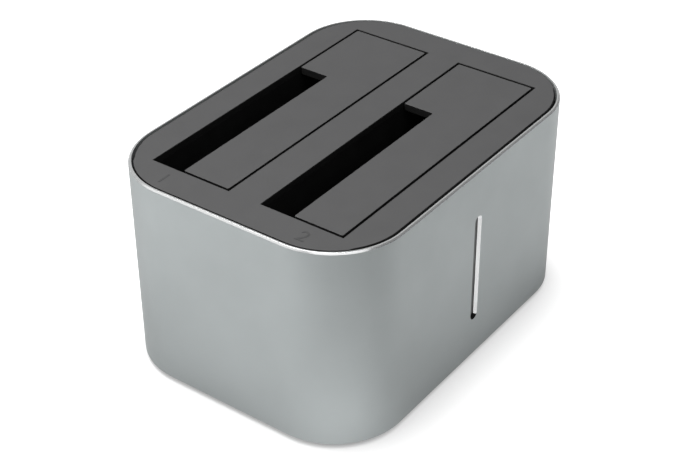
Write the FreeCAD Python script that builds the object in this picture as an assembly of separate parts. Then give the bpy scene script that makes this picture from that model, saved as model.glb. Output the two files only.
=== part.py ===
"""Dual-bay drive duplicator: an aluminium sleeve round two drive wells with sprung flaps.

Millimetres, +Z up. X runs along the front face, which looks along -Y. The origin is the
centre of the footprint, on the surface that the feet stand on.
"""
import FreeCAD
import Part
import math
import os

Vector = FreeCAD.Vector

# ---------------------------------------------------------------- driving dimensions
# Drives that the bays take
DRIVE_35_WIDTH = 101.6
DRIVE_35_THICKNESS = 26.1
DRIVE_25_WIDTH = 69.85
DRIVE_25_THICKNESS = 9.5
DRIVE_35_SIDE_PLAY = 1.9
DRIVE_35_FLAP_ROOM = 2.9
DRIVE_25_SIDE_PLAY = 1.15
DRIVE_25_FACE_PLAY = 1.95

# Body
BAY_WEB = 11.7
END_MARGIN = 12.5
SIDE_MARGIN = 12.15
SHELL_HEIGHT = 69.0
SHELL_RADIUS = 24.2
SHELL_WALL = 1.4
RIM_CHAMFER = 0.95
FOOT_EDGE_CHAMFER = 0.3
FOOT_STAND = 1.5

# How far a cutting shape runs past a face, and how deep an added shape is rooted in a wall
SPARE = 1.0
ROOT = 0.2

# Top panel and flaps
PANEL_THICKNESS = 2.0
PANEL_DROP = 0.25
PANEL_GAP = 0.5
PANEL_TAB_X = 28.3
PANEL_TAB_DROP = 6.0
PANEL_TAB_WIDTH = 8.0
PANEL_TAB_THICKNESS = 1.2
FLAP_THICKNESS = 2.2
FLAP_GAP = 0.8
FLAP_RIB_WIDTH = 1.0
FLAP_RIB_DROP = 1.2
FLAP_RIB_PLACES = (6.9, 14.6)
FLAP_RIB_INSET = 1.5

# Hinge
PIN_RADIUS = 0.75
PIN_CLEARANCE = 0.05
KNUCKLE_RADIUS = 1.6
BOSS_RADIUS = 1.7
HINGE_INSET = 2.0
HINGE_CLEARANCE = 0.2
HINGE_WALL_GAP = 0.3
BOSS_WIDTH = 3.0
ARM_WIDTH = 8.0
ARM_REACH = 7.0
ARM_INSET = 16.0
ARM_BEND = 2.8
TAB_WIDTH = 10.0
TAB_REACH = 1.2
TAB_THICKNESS = 1.4
TAB_ROOT = 3.0
TAB_NOTCH_PLAY = 1.0
SPRING_WIRE_RADIUS = 0.25
SPRING_COIL_RADIUS = 1.2
SPRING_PITCH = 0.62
SPRING_TURNS = 4
SPRING_STEPS = 10
SPRING_WIRE_SIDES = 6
SPRING_LEG = 7.0
SPRING_BOSS_GAP = 0.5

# Drive wells
WELL_WALL = 1.6
WELL_FLOOR = 2.0
GUIDE_RIB_WIDTH = 1.6
GUIDE_RIB_HEIGHT = 7.5
GUIDE_RIB_PITCH = 40.0
GUIDE_RIB_LEAD = 3.4
GUIDE_RIB_CREST = 1.5
EAR_THICKNESS = 2.0
EAR_RADIUS = 3.2
EAR_HOLE_RADIUS = 1.3
EAR_BOSS_LENGTH = 5.0
EAR_BOSS_RADIUS = 2.8
EAR_WALL_GAP = 0.6
EAR_Y = 28.0

# Posts, screw ports and screws
POST_RADIUS = 3.2
POST_SIDES = 8
POST_WALL_GAP = 1.75
POST_Y = 18.0
PORT_RADIUS = 2.8
PORT_BURIED = 0.2
PORT_SLOT = 1.2
SCREW_SHANK_RADIUS = 1.15
SCREW_PILOT_RADIUS = 1.2
SCREW_HEAD_RADIUS = 2.6
SCREW_HEAD_HEIGHT = 1.1
SCREW_HEAD_SIDES = 10
SCREW_SHANK_SIDES = 6
SCREW_HOLE_RADIUS = 1.5
SCREW_LENGTH = 8.0
WELL_SCREW_LENGTH = 5.0
COUNTERBORE_RADIUS = 3.0
COUNTERBORE_DEPTH = 1.3

# Base plate and feet
BASE_RECESS = 0.5
BASE_THICKNESS = 2.5
BASE_GAP = 0.3
BASE_EDGE_CUT = 0.4
FOOT_RADIUS = 6.0
FOOT_INSET = 10.0

# Main board
STANDOFF_HEIGHT = 2.6
STANDOFF_WIDTH = 5.6
BOARD_THICKNESS = 1.6
BOARD_END_GAP = 9.55
BOARD_FRONT_GAP = 3.6
BOARD_REAR_GAP = 2.1
BOARD_CORNER = 12.0
BOARD_SCREW_X_INSET = 5.3
BOARD_SCREW_Y = 32.0
BOARD_SCREW_LENGTH = 4.7
PILOT_SPARE = 0.3
TALLEST_PART = 11.0
UNDER_FLOOR_GAP = 1.3

# SATA sockets
SOCKET_LENGTH = 42.6
SOCKET_THICKNESS = 6.2
SOCKET_ABOVE_FLOOR = 5.2
SOCKET_OFFSET = 31.0
SOCKET_FIT = 0.4
SOCKET_EDGE_CUT = 0.4
BLADE_SLOT = 1.5
BLADE_SLOT_DEPTH = 5.5
BLADE_KEY = 2.6
BLADE_KEY_WIDTH = 0.9
POWER_SLOT_START = -18.6
POWER_PINS = 15
DATA_SLOT_START = 5.0
DATA_PINS = 7
PIN_PITCH = 1.27
CONTACT_WIDTH = 0.6
CONTACT_THICKNESS = 0.35
CONTACT_HEIGHT = 4.6

# Rear input and output panel
REAR_CUT_WIDTH = 76.0
REAR_CUT_HEIGHT = 15.2
REAR_CUT_RADIUS = 3.0
REAR_CUT_LOW = 5.5
REAR_PANEL_RECESS = 0.6
REAR_PANEL_FIT = 0.1
REAR_FLANGE = 1.0
REAR_FLANGE_LIP = 1.5
PORT_FIT = 0.2
PORT_INSET = 11.0
PORT_PITCH = 18.0
JACK_WIDTH = 9.0
JACK_HEIGHT = 11.0
JACK_DEPTH = 14.0
JACK_AXIS = 6.4
JACK_BORE_RADIUS = 2.8
JACK_BORE_DEPTH = 10.0
JACK_PIN_RADIUS = 1.0
JACK_PIN_SETBACK = 1.2
JACK_SETBACK = 0.2
USB_WIDTH = 8.94
USB_HEIGHT = 3.26
USB_DEPTH = 7.4
USB_WALL = 0.3
USB_TONGUE_WIDTH = 6.7
USB_TONGUE_HEIGHT = 0.7
USB_TONGUE_LENGTH = 4.6
USB_BACK = 1.8
USB_SETBACK = 0.3
BUTTON_AXIS = 6.0
BUTTON_PROUD = 0.5
BUTTON_LIP = 0.7
BUTTON_LIP_THICKNESS = 1.0
BUTTON_REST_GAP = 0.2
BUTTON_STOP_GAP = 0.2
BUTTON_EDGE_CUT = 0.35
POWER_RADIUS = 4.5
POWER_TRAVEL = 2.0
POWER_SWITCH = (8.5, 8.0)
CLONE_RADIUS = 2.9
CLONE_TRAVEL = 0.9
CLONE_SWITCH = (6.0, 6.0)
STEM_RADIUS = 1.4
POWER_STEM_LENGTH = 5.0
CLONE_STEM_LENGTH = 4.0
STEM_CLEARANCE = 0.3
SWITCH_BACK_WALL = 0.6

# Light bar on the front
LIGHT_X = 0.0
LIGHT_LOW = 14.2
LIGHT_LENGTH = 38.6
LIGHT_SLOT = 2.0
LIGHT_BEVEL = 0.85
LIGHT_FIT = 0.1
LIGHT_SETBACK = 0.95
LIGHT_FLANGE = 1.0
LIGHT_FLANGE_LIP = 1.4
LED_SIZE = 1.6
LED_THICKNESS = 0.6
LED_COUNT = 5
LED_GAP = 0.1
LED_BOARD_WIDTH = 8.0
LED_BOARD_THICKNESS = 0.8
LED_BOARD_RISE = 1.0
LED_REST_RIB = 1.2
LED_REST_RIB_X = 2.6
HEADER_PINS = 4
HEADER_PITCH = 2.54
HEADER_BODY = 2.5
HEADER_PIN = 0.64
HEADER_SETBACK = 0.3

# Parts on the main board: x, y, then their own sizes
CHIP_PLACE = (30.0, 4.0)
CHIP_SIZE = 12.0
CHIP_HEIGHT = 1.4
CHIP_EDGE_CUT = 0.2
CHIP_LEAD_COUNT = 8
CHIP_LEAD_LENGTH = 1.0
CHIP_LEAD_WIDTH = 0.4
CHIP_LEAD_HEIGHT = 0.42
CAPACITOR_PLACES = ((43.0, 20.0), (34.0, 22.0), (42.0, -20.0))
CAPACITOR_RADIUS = 3.15
CAPACITOR_HEIGHT = 7.7
CAPACITOR_BASE = 1.0
CAPACITOR_FOOT_LIP = 0.15
INDUCTOR_PLACES = ((22.0, 20.0), (31.0, -22.0))
INDUCTOR_SIZE = 7.0
INDUCTOR_HEIGHT = 3.0
INDUCTOR_CORNER_CUT = 0.8
CRYSTAL_PLACE = (16.0, 4.0)
CRYSTAL_LENGTH = 11.0
CRYSTAL_WIDTH = 4.6
CRYSTAL_HEIGHT = 3.4
CRYSTAL_CORNER = 2.2
PASSIVE_START = (20.0, -8.0)
PASSIVE_COUNT = 10
PASSIVE_COLUMN_COUNT = 5
PASSIVE_PITCH = 4.0
PASSIVE_SIZE = (2.0, 1.25, 0.8)

# ---------------------------------------------------------------- derived places
BAY_LENGTH = DRIVE_35_WIDTH + DRIVE_35_SIDE_PLAY
BAY_WIDTH = DRIVE_35_THICKNESS + DRIVE_35_FLAP_ROOM
SLOT_LENGTH = DRIVE_25_WIDTH + DRIVE_25_SIDE_PLAY
SLOT_WIDTH = DRIVE_25_THICKNESS + DRIVE_25_FACE_PLAY
SHELL_WIDTH = BAY_LENGTH + 2 * END_MARGIN
SHELL_DEPTH = 2 * BAY_WIDTH + BAY_WEB + 2 * SIDE_MARGIN

BAY_FRONTS = {1: BAY_WEB / 2, 2: -BAY_WEB / 2 - BAY_WIDTH}
BAY_END = BAY_LENGTH / 2

SHELL_BOTTOM = FOOT_STAND
SHELL_TOP = SHELL_BOTTOM + SHELL_HEIGHT
INNER_X = SHELL_WIDTH / 2 - SHELL_WALL
INNER_Y = SHELL_DEPTH / 2 - SHELL_WALL
INNER_RADIUS = SHELL_RADIUS - SHELL_WALL

PANEL_TOP = SHELL_TOP - PANEL_DROP
PANEL_BOTTOM = PANEL_TOP - PANEL_THICKNESS
FLAP_BOTTOM = PANEL_TOP - FLAP_THICKNESS
PIN_Z = PANEL_BOTTOM - HINGE_CLEARANCE - KNUCKLE_RADIUS
HINGE_WALL = HINGE_INSET + KNUCKLE_RADIUS + HINGE_WALL_GAP

BASE_BOTTOM = SHELL_BOTTOM + BASE_RECESS
BASE_TOP = BASE_BOTTOM + BASE_THICKNESS
BOARD_BOTTOM = BASE_TOP + STANDOFF_HEIGHT
BOARD_TOP = BOARD_BOTTOM + BOARD_THICKNESS
FLOOR_BOTTOM = BOARD_TOP + TALLEST_PART + UNDER_FLOOR_GAP
FLOOR_TOP = FLOOR_BOTTOM + WELL_FLOOR
SOCKET_TOP = FLOOR_TOP + SOCKET_ABOVE_FLOOR
SOCKET_X = -BAY_END + SOCKET_OFFSET

BOARD_X = INNER_X - BOARD_END_GAP
BOARD_FRONT = -INNER_Y + BOARD_FRONT_GAP
BOARD_REAR = INNER_Y - BOARD_REAR_GAP

POST_X = INNER_X - POST_WALL_GAP - POST_RADIUS
PORT_X = INNER_X + PORT_BURIED - PORT_RADIUS
EAR_X = BAY_END + WELL_WALL + EAR_RADIUS + EAR_WALL_GAP
EAR_TOP = PANEL_BOTTOM - EAR_BOSS_LENGTH
BOARD_SCREW_X = BOARD_X - BOARD_SCREW_X_INSET
POST_PILOT_TOP = BASE_BOTTOM + COUNTERBORE_DEPTH + SCREW_LENGTH + PILOT_SPARE

REAR_FACE = SHELL_DEPTH / 2 - REAR_PANEL_RECESS
REAR_BACK = INNER_Y - REAR_FLANGE
JACK_X = REAR_CUT_WIDTH / 2 - PORT_INSET
USB_X = JACK_X - PORT_PITCH
POWER_X = PORT_INSET - REAR_CUT_WIDTH / 2
CLONE_X = POWER_X + PORT_PITCH
REAR_CUT_Z = SHELL_BOTTOM + REAR_CUT_LOW + REAR_CUT_HEIGHT / 2
BUTTON_Z = BOARD_TOP + BUTTON_AXIS
LIP_FRONT = REAR_BACK - BUTTON_REST_GAP
LIP_BACK = LIP_FRONT - BUTTON_LIP_THICKNESS

FRONT_FACE = -SHELL_DEPTH / 2
LIGHT_Z = SHELL_BOTTOM + LIGHT_LOW + LIGHT_LENGTH / 2
LIGHT_BACK = -INNER_Y + LIGHT_FLANGE
LED_FRONT = LIGHT_BACK + LED_GAP
LED_BOARD_FRONT = LED_FRONT + LED_THICKNESS
LED_BOARD_BACK = LED_BOARD_FRONT + LED_BOARD_THICKNESS


# ---------------------------------------------------------------- shape helpers
def box(x0, x1, y0, y1, z0, z1):
    """Box between two corners."""
    return Part.makeBox(x1 - x0, y1 - y0, z1 - z0, Vector(x0, y0, z0))


def block(x, y, z, width, depth, height):
    """Box centred on x and y that stands on z."""
    return box(x - width / 2, x + width / 2, y - depth / 2, y + depth / 2, z, z + height)


def rod_x(x0, x1, y, z, radius):
    return Part.makeCylinder(radius, x1 - x0, Vector(x0, y, z), Vector(1, 0, 0))


def rod_y(x, z, y0, y1, radius):
    return Part.makeCylinder(radius, y1 - y0, Vector(x, y0, z), Vector(0, 1, 0))


def rod_z(x, y, z0, z1, radius):
    return Part.makeCylinder(radius, z1 - z0, Vector(x, y, z0), Vector(0, 0, 1))


def fuse(solids):
    """One clean solid from several that touch."""
    first, *others = solids
    return first.multiFuse(others).removeSplitter() if others else first


def cut(solid, tools):
    return solid.cut(Part.makeCompound(tools)) if tools else solid


def edges_along(solid, axis):
    """Straight edges that run along one axis: 0 for X, 1 for Y, 2 for Z."""
    found = []
    for edge in solid.Edges:
        start, end = edge.Vertexes[0].Point, edge.Vertexes[-1].Point
        span = [abs(end[i] - start[i]) for i in range(3)]
        if span[axis] > 1e-6 and sum(span) - span[axis] < 1e-6:
            found.append(edge)
    return found


def edges_at(solid, z):
    """Edges that lie in the horizontal plane at z."""
    return [e for e in solid.Edges
            if abs(e.BoundBox.ZMin - z) < 1e-6 and abs(e.BoundBox.ZMax - z) < 1e-6]


def rounded(half_x, half_y, radius, z0, z1):
    """Upright prism on a rounded rectangle about the origin."""
    solid = box(-half_x, half_x, -half_y, half_y, z0, z1)
    return solid.makeFillet(radius, edges_along(solid, 2))


def rounded_y(x, z, width, height, radius, y0, y1):
    """Prism along Y on a rounded rectangle centred at x and z."""
    solid = box(x - width / 2, x + width / 2, y0, y1, z - height / 2, z + height / 2)
    return solid.makeFillet(radius, edges_along(solid, 1))


def capsule_y(x, z, width, height, y0, y1):
    """Prism along Y on a slot outline with full round ends."""
    radius = min(width, height) / 2
    if height > width:
        ends = [(x, z - height / 2 + radius), (x, z + height / 2 - radius)]
        middle = box(x - radius, x + radius, y0, y1, ends[0][1], ends[1][1])
    else:
        ends = [(x - width / 2 + radius, z), (x + width / 2 - radius, z)]
        middle = box(ends[0][0], ends[1][0], y0, y1, z - radius, z + radius)
    return fuse([middle] + [rod_y(ex, ez, y0, y1, radius) for ex, ez in ends])


def prism_z(x, y, z0, z1, radius, sides):
    """Upright prism on a regular polygon with the given corner radius."""
    turn = 2 * math.pi / sides
    corners = [Vector(x + radius * math.cos(i * turn), y + radius * math.sin(i * turn), z0)
               for i in range(sides)]
    return Part.Face(Part.makePolygon(corners + corners[:1])).extrude(Vector(0, 0, z1 - z0))


def screw(x, y, seat, length, up):
    """Plain screw on its seat: driven up its head hangs below the seat, driven down it stands on it."""
    way = 1 if up else -1
    head_ends = sorted((seat, seat - way * SCREW_HEAD_HEIGHT))
    shank_ends = sorted((seat, seat + way * length))
    head = prism_z(x, y, *head_ends, SCREW_HEAD_RADIUS, SCREW_HEAD_SIDES)
    shank = prism_z(x, y, *shank_ends, SCREW_SHANK_RADIUS, SCREW_SHANK_SIDES)
    return fuse([head, shank])


def screws(places, seat, length, up):
    return Part.makeCompound([screw(x, y, seat, length, up) for x, y in places])


# ---------------------------------------------------------------- housing
def outer_shell():
    """Extruded sleeve with a cut rim, the light slot, the rear opening and two screw ports."""
    skin = rounded(SHELL_WIDTH / 2, SHELL_DEPTH / 2, SHELL_RADIUS, SHELL_BOTTOM, SHELL_TOP)
    skin = skin.makeChamfer(RIM_CHAMFER, edges_at(skin, SHELL_TOP))
    skin = skin.makeChamfer(FOOT_EDGE_CHAMFER, edges_at(skin, SHELL_BOTTOM))
    room = rounded(INNER_X, INNER_Y, INNER_RADIUS, SHELL_BOTTOM - SPARE, SHELL_TOP + SPARE)
    sleeve = skin.cut(room)

    ports = []
    bores = []
    for side in (-1, 1):
        x = side * PORT_X
        ports.append(rod_z(x, 0, BASE_TOP, PANEL_BOTTOM, PORT_RADIUS))
        bores.append(rod_z(x, 0, BASE_TOP - SPARE, PANEL_BOTTOM + SPARE, SCREW_PILOT_RADIUS))
        reach = PORT_RADIUS + SPARE
        bores.append(block(x - side * reach / 2, 0, BASE_TOP - SPARE, reach, PORT_SLOT,
                           PANEL_BOTTOM - BASE_TOP + 2 * SPARE))
    sleeve = cut(fuse([sleeve] + [p.common(skin) for p in ports]), bores)

    light = capsule_y(LIGHT_X, LIGHT_Z, LIGHT_SLOT, LIGHT_LENGTH - 2 * LIGHT_BEVEL,
                      FRONT_FACE - SPARE, -INNER_Y + SPARE)
    bevel = light_bevel()
    rear = rounded_y(0, REAR_CUT_Z, REAR_CUT_WIDTH, REAR_CUT_HEIGHT, REAR_CUT_RADIUS,
                     INNER_Y - SPARE, SHELL_DEPTH / 2 + SPARE)
    return cut(sleeve, [light, bevel, rear])


def light_bevel():
    """The 45 degree bevel that is cut round the light slot."""
    wide = LIGHT_SLOT / 2 + LIGHT_BEVEL
    half = LIGHT_LENGTH / 2 - wide
    cones = [Part.makeCone(wide, LIGHT_SLOT / 2, LIGHT_BEVEL, Vector(LIGHT_X, FRONT_FACE, z), Vector(0, 1, 0))
             for z in (LIGHT_Z - half, LIGHT_Z + half)]
    outline = [Vector(LIGHT_X - wide, FRONT_FACE, 0), Vector(LIGHT_X + wide, FRONT_FACE, 0),
               Vector(LIGHT_X + LIGHT_SLOT / 2, FRONT_FACE + LIGHT_BEVEL, 0),
               Vector(LIGHT_X - LIGHT_SLOT / 2, FRONT_FACE + LIGHT_BEVEL, 0)]
    face = Part.Face(Part.makePolygon(outline + outline[:1]))
    face.translate(Vector(0, 0, LIGHT_Z - half))
    return fuse([face.extrude(Vector(0, 0, 2 * half))] + cones)


def post_places():
    """Centres of the panel's four long posts."""
    return [(sx * POST_X, sy * POST_Y) for sx in (-1, 1) for sy in (-1, 1)]


def screw_places():
    """Where the base screws go: four posts and the sleeve's two ports."""
    return post_places() + [(-PORT_X, 0), (PORT_X, 0)]


def ear_places(bays=(1, 2)):
    """Where the wells hang from the panel's short bosses: one at each end of a well."""
    lines = {1: EAR_Y, 2: -EAR_Y}
    return [(side * EAR_X, lines[bay]) for bay in bays for side in (-1, 1)]


def top_panel():
    """Flat cover with the two bay openings, long posts, short bosses and locating tabs."""
    plate = rounded(INNER_X - PANEL_GAP, INNER_Y - PANEL_GAP, INNER_RADIUS - PANEL_GAP,
                    PANEL_BOTTOM, PANEL_TOP)
    holes = []
    for front in BAY_FRONTS.values():
        holes.append(box(-BAY_END, BAY_END, front, front + BAY_WIDTH, PANEL_BOTTOM - SPARE,
                         PANEL_TOP + SPARE))
    plate = cut(plate, holes)

    posts = [prism_z(x, y, BASE_TOP, PANEL_BOTTOM, POST_RADIUS, POST_SIDES) for x, y in post_places()]
    posts += [prism_z(x, y, EAR_TOP, PANEL_BOTTOM, EAR_BOSS_RADIUS, POST_SIDES) for x, y in ear_places()]
    pilots = [rod_z(x, y, BASE_TOP - SPARE, POST_PILOT_TOP, SCREW_PILOT_RADIUS) for x, y in post_places()]
    pilots += [rod_z(x, y, EAR_TOP - SPARE, PANEL_BOTTOM, SCREW_PILOT_RADIUS) for x, y in ear_places()]

    tab_y = INNER_Y - PANEL_GAP - PANEL_TAB_THICKNESS / 2
    tabs = [block(x, y, PANEL_BOTTOM - PANEL_TAB_DROP, PANEL_TAB_WIDTH, PANEL_TAB_THICKNESS, PANEL_TAB_DROP)
            for x in (-PANEL_TAB_X, PANEL_TAB_X) for y in (-tab_y, tab_y)]
    return cut(fuse([plate] + posts + tabs), pilots)


def base_plate():
    """Bottom cover with counterbored screw holes and board standoffs."""
    plate = rounded(INNER_X - BASE_GAP, INNER_Y - BASE_GAP, INNER_RADIUS - BASE_GAP,
                    BASE_BOTTOM, BASE_TOP)
    plate = plate.makeChamfer(BASE_EDGE_CUT, edges_at(plate, BASE_BOTTOM))
    standoffs = [block(x, y, BASE_TOP, STANDOFF_WIDTH, STANDOFF_WIDTH, STANDOFF_HEIGHT)
                 for x, y in board_screw_places()]
    holes = []
    for x, y in screw_places():
        holes.append(rod_z(x, y, BASE_BOTTOM - SPARE, BASE_TOP + SPARE, SCREW_HOLE_RADIUS))
        holes.append(rod_z(x, y, BASE_BOTTOM - SPARE, BASE_BOTTOM + COUNTERBORE_DEPTH, COUNTERBORE_RADIUS))
    for x, y in board_screw_places():
        holes.append(rod_z(x, y, BOARD_TOP - BOARD_SCREW_LENGTH - PILOT_SPARE, BOARD_BOTTOM + SPARE,
                           SCREW_PILOT_RADIUS))
    return cut(fuse([plate] + standoffs), holes)


def foot_places():
    """Centres of the feet, on the diagonals of the rounded corners."""
    reach = (INNER_RADIUS - FOOT_INSET) / math.sqrt(2)
    x = INNER_X - INNER_RADIUS + reach
    y = INNER_Y - INNER_RADIUS + reach
    return [(sx * x, sy * y) for sx in (-1, 1) for sy in (-1, 1)]


def rubber_feet():
    return Part.makeCompound([rod_z(x, y, 0, BASE_BOTTOM, FOOT_RADIUS) for x, y in foot_places()])


# ---------------------------------------------------------------- drive wells and flaps
def hinge_line(bay):
    """Y of the flap's pin, which lies under the panel in front of the opening."""
    return BAY_FRONTS[bay] - HINGE_INSET


def boss_spans():
    """X spans of the three bosses that carry a pin: one at each end and one in the middle."""
    half = BOSS_WIDTH / 2
    return [(-BAY_END, -BAY_END + BOSS_WIDTH), (-half, half), (BAY_END - BOSS_WIDTH, BAY_END)]


def arm_places():
    return (-BAY_END + ARM_INSET, BAY_END - ARM_INSET)


def tab_place():
    """X of the flap's stop tab, in the middle of its wide end."""
    return -BAY_END + (SLOT_LENGTH + BAY_LENGTH) / 2


def drive_well(bay):
    """Open moulded box below one bay, with hinge bosses, guide ribs, ears and a socket window."""
    front = BAY_FRONTS[bay]
    inner_front = front - HINGE_WALL
    inner_back = front + BAY_WIDTH
    outer = box(-BAY_END - WELL_WALL, BAY_END + WELL_WALL, inner_front - WELL_WALL,
                inner_back + WELL_WALL, FLOOR_BOTTOM, PANEL_BOTTOM)
    room = box(-BAY_END, BAY_END, inner_front, inner_back, FLOOR_TOP, PANEL_BOTTOM + SPARE)
    sleeve_room = rounded(INNER_X - BASE_GAP, INNER_Y - BASE_GAP, INNER_RADIUS - BASE_GAP,
                          FLOOR_BOTTOM - SPARE, PANEL_BOTTOM + SPARE)
    well = outer.cut(room).common(sleeve_room)

    pin_y = hinge_line(bay)
    adds = []
    for x0, x1 in boss_spans():
        adds.append(rod_x(x0, x1, pin_y, PIN_Z, BOSS_RADIUS))
        adds.append(box(x0, x1, inner_front - WELL_WALL / 2, pin_y, PIN_Z - BOSS_RADIUS,
                        PIN_Z + BOSS_RADIUS))
    for step in (-1, 0, 1):
        adds.append(guide_rib(step * GUIDE_RIB_PITCH, inner_front, front))
    for x, y in ear_places([bay]):
        adds.append(rod_z(x, y, EAR_TOP - EAR_THICKNESS, EAR_TOP, EAR_RADIUS))
        wall = math.copysign(BAY_END + WELL_WALL / 2, x)
        adds.append(box(min(x, wall), max(x, wall), y - EAR_RADIUS, y + EAR_RADIUS,
                        EAR_TOP - EAR_THICKNESS, EAR_TOP))
    if bay == 2:
        for side in (-1, 1):
            x = LIGHT_X + side * LED_REST_RIB_X
            adds.append(box(x - LED_REST_RIB / 2, x + LED_REST_RIB / 2, LED_BOARD_BACK,
                            inner_front - WELL_WALL / 2, FLOOR_TOP, LIGHT_Z + LIGHT_LENGTH / 2))

    end = BAY_END + WELL_WALL + SPARE
    holes = [rod_x(-end, end, pin_y, PIN_Z, PIN_RADIUS)]
    holes += [rod_z(x, y, EAR_TOP - EAR_THICKNESS - SPARE, EAR_TOP + SPARE, EAR_HOLE_RADIUS)
              for x, y in ear_places([bay])]
    holes.append(block(SOCKET_X, socket_line(bay), FLOOR_BOTTOM - SPARE, SOCKET_LENGTH + 2 * SOCKET_FIT,
                       SOCKET_THICKNESS + 2 * SOCKET_FIT, WELL_FLOOR + 2 * SPARE))
    holes.append(block(tab_place(), inner_back + WELL_WALL / 2, PANEL_BOTTOM - tab_notch_depth(),
                       TAB_WIDTH + 2 * TAB_NOTCH_PLAY, WELL_WALL + 2 * SPARE, tab_notch_depth() + SPARE))
    return cut(fuse([well] + adds), holes)


def tab_notch_depth():
    """How far down the back wall the stop tab still reaches past the wall's inner face."""
    reach = HINGE_INSET + BAY_WIDTH + TAB_REACH
    swing = math.hypot(reach, PANEL_BOTTOM - PIN_Z)
    inner_face = HINGE_INSET + BAY_WIDTH - HINGE_WALL_GAP
    return math.sqrt(swing ** 2 - inner_face ** 2) + 2 * TAB_THICKNESS + PANEL_BOTTOM - PIN_Z


def guide_rib(x, inner_front, front):
    """Low rib with a sloped lead-in that holds a 3.5 inch drive clear of the hanging flap."""
    half = GUIDE_RIB_WIDTH / 2
    tip = front + HINGE_WALL - HINGE_INSET
    top = FLOOR_TOP + GUIDE_RIB_HEIGHT
    side = [Vector(x - half, inner_front - WELL_WALL / 2, FLOOR_TOP - WELL_FLOOR / 2),
            Vector(x - half, tip, FLOOR_TOP - WELL_FLOOR / 2),
            Vector(x - half, tip, top - GUIDE_RIB_LEAD),
            Vector(x - half, inner_front + GUIDE_RIB_CREST, top),
            Vector(x - half, inner_front - WELL_WALL / 2, top)]
    return Part.Face(Part.makePolygon(side + side[:1])).extrude(Vector(GUIDE_RIB_WIDTH, 0, 0))


def flap(bay):
    """L-shaped cover that leaves the 2.5 inch slot open and swings down into the well."""
    front = BAY_FRONTS[bay]
    pin_y = hinge_line(bay)
    back = front + BAY_WIDTH - FLAP_GAP
    slot_y = front + BAY_WIDTH - SLOT_WIDTH
    slot_x = -BAY_END + SLOT_LENGTH
    left, right = -BAY_END + FLAP_GAP, BAY_END - FLAP_GAP
    corners = [(left, front + FLAP_GAP), (right, front + FLAP_GAP), (right, back),
               (slot_x, back), (slot_x, slot_y), (left, slot_y)]
    points = [Vector(x, y, FLAP_BOTTOM) for x, y in corners]
    plate = Part.Face(Part.makePolygon(points + points[:1])).extrude(Vector(0, 0, FLAP_THICKNESS))

    adds = []
    passage = PIN_Z + KNUCKLE_RADIUS
    for x in arm_places():
        x0, x1 = x - ARM_WIDTH / 2, x + ARM_WIDTH / 2
        adds.append(rod_x(x0, x1, pin_y, PIN_Z, KNUCKLE_RADIUS))
        adds.append(goose_neck(x0, pin_y, front, passage))
    for place in FLAP_RIB_PLACES:
        y = front + FLAP_GAP + place
        adds.append(box(left + FLAP_RIB_INSET, right - FLAP_RIB_INSET, y - FLAP_RIB_WIDTH / 2,
                        y + FLAP_RIB_WIDTH / 2, FLAP_BOTTOM - FLAP_RIB_DROP, FLAP_BOTTOM + ROOT))
    tab_top = PANEL_BOTTOM - HINGE_CLEARANCE
    tab = [box(tab_place() - TAB_WIDTH / 2, tab_place() + TAB_WIDTH / 2, back - TAB_ROOT,
               front + BAY_WIDTH + TAB_REACH, tab_top - TAB_THICKNESS, tab_top),
           box(tab_place() - TAB_WIDTH / 2, tab_place() + TAB_WIDTH / 2, back - TAB_ROOT,
               back, tab_top - TAB_THICKNESS, FLAP_BOTTOM + ROOT)]
    bore = rod_x(left - SPARE, right + SPARE, pin_y, PIN_Z, PIN_RADIUS + PIN_CLEARANCE)
    return fuse([plate] + adds + tab).cut(bore)


def goose_neck(x0, pin_y, front, passage):
    """Hinge arm that passes under the panel's edge and joins the plate behind it."""
    low = PIN_Z - KNUCKLE_RADIUS
    end = front + ARM_REACH
    outline = [Vector(x0, pin_y, low), Vector(x0, front + ARM_BEND, low),
               Vector(x0, end, FLAP_BOTTOM + ROOT), Vector(x0, front + FLAP_GAP, FLAP_BOTTOM + ROOT),
               Vector(x0, front + FLAP_GAP, passage), Vector(x0, pin_y, passage)]
    return Part.Face(Part.makePolygon(outline + outline[:1])).extrude(Vector(ARM_WIDTH, 0, 0))


def hinge_pin(bay):
    return rod_x(-BAY_END - WELL_WALL, BAY_END + WELL_WALL, hinge_line(bay), PIN_Z, PIN_RADIUS)


def flap_spring(bay):
    """Torsion spring on the pin beside the middle boss; its leg reaches under the flap."""
    start = BOSS_WIDTH / 2 + SPRING_BOSS_GAP
    pin_y = hinge_line(bay)
    points = [Vector(start, pin_y + SPRING_LEG, PIN_Z + SPRING_COIL_RADIUS)]
    for step in range(SPRING_TURNS * SPRING_STEPS + 1):
        angle = 2 * math.pi * step / SPRING_STEPS
        points.append(Vector(start + SPRING_PITCH * step / SPRING_STEPS,
                             pin_y - SPRING_COIL_RADIUS * math.sin(angle),
                             PIN_Z + SPRING_COIL_RADIUS * math.cos(angle)))
    circle = Part.makeCircle(SPRING_WIRE_RADIUS, points[0], points[1] - points[0])
    ring = Part.makePolygon(circle.discretize(SPRING_WIRE_SIDES + 1))
    return Part.makePolygon(points).makePipeShell([ring], True, True, 1)


# ---------------------------------------------------------------- electronics
def board_screw_places():
    return [(sx * BOARD_SCREW_X, sy * BOARD_SCREW_Y) for sx in (-1, 1) for sy in (-1, 1)]


def socket_line(bay):
    """Y of a bay's SATA socket: the middle of its 2.5 inch slot."""
    return BAY_FRONTS[bay] + BAY_WIDTH - SLOT_WIDTH / 2


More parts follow.
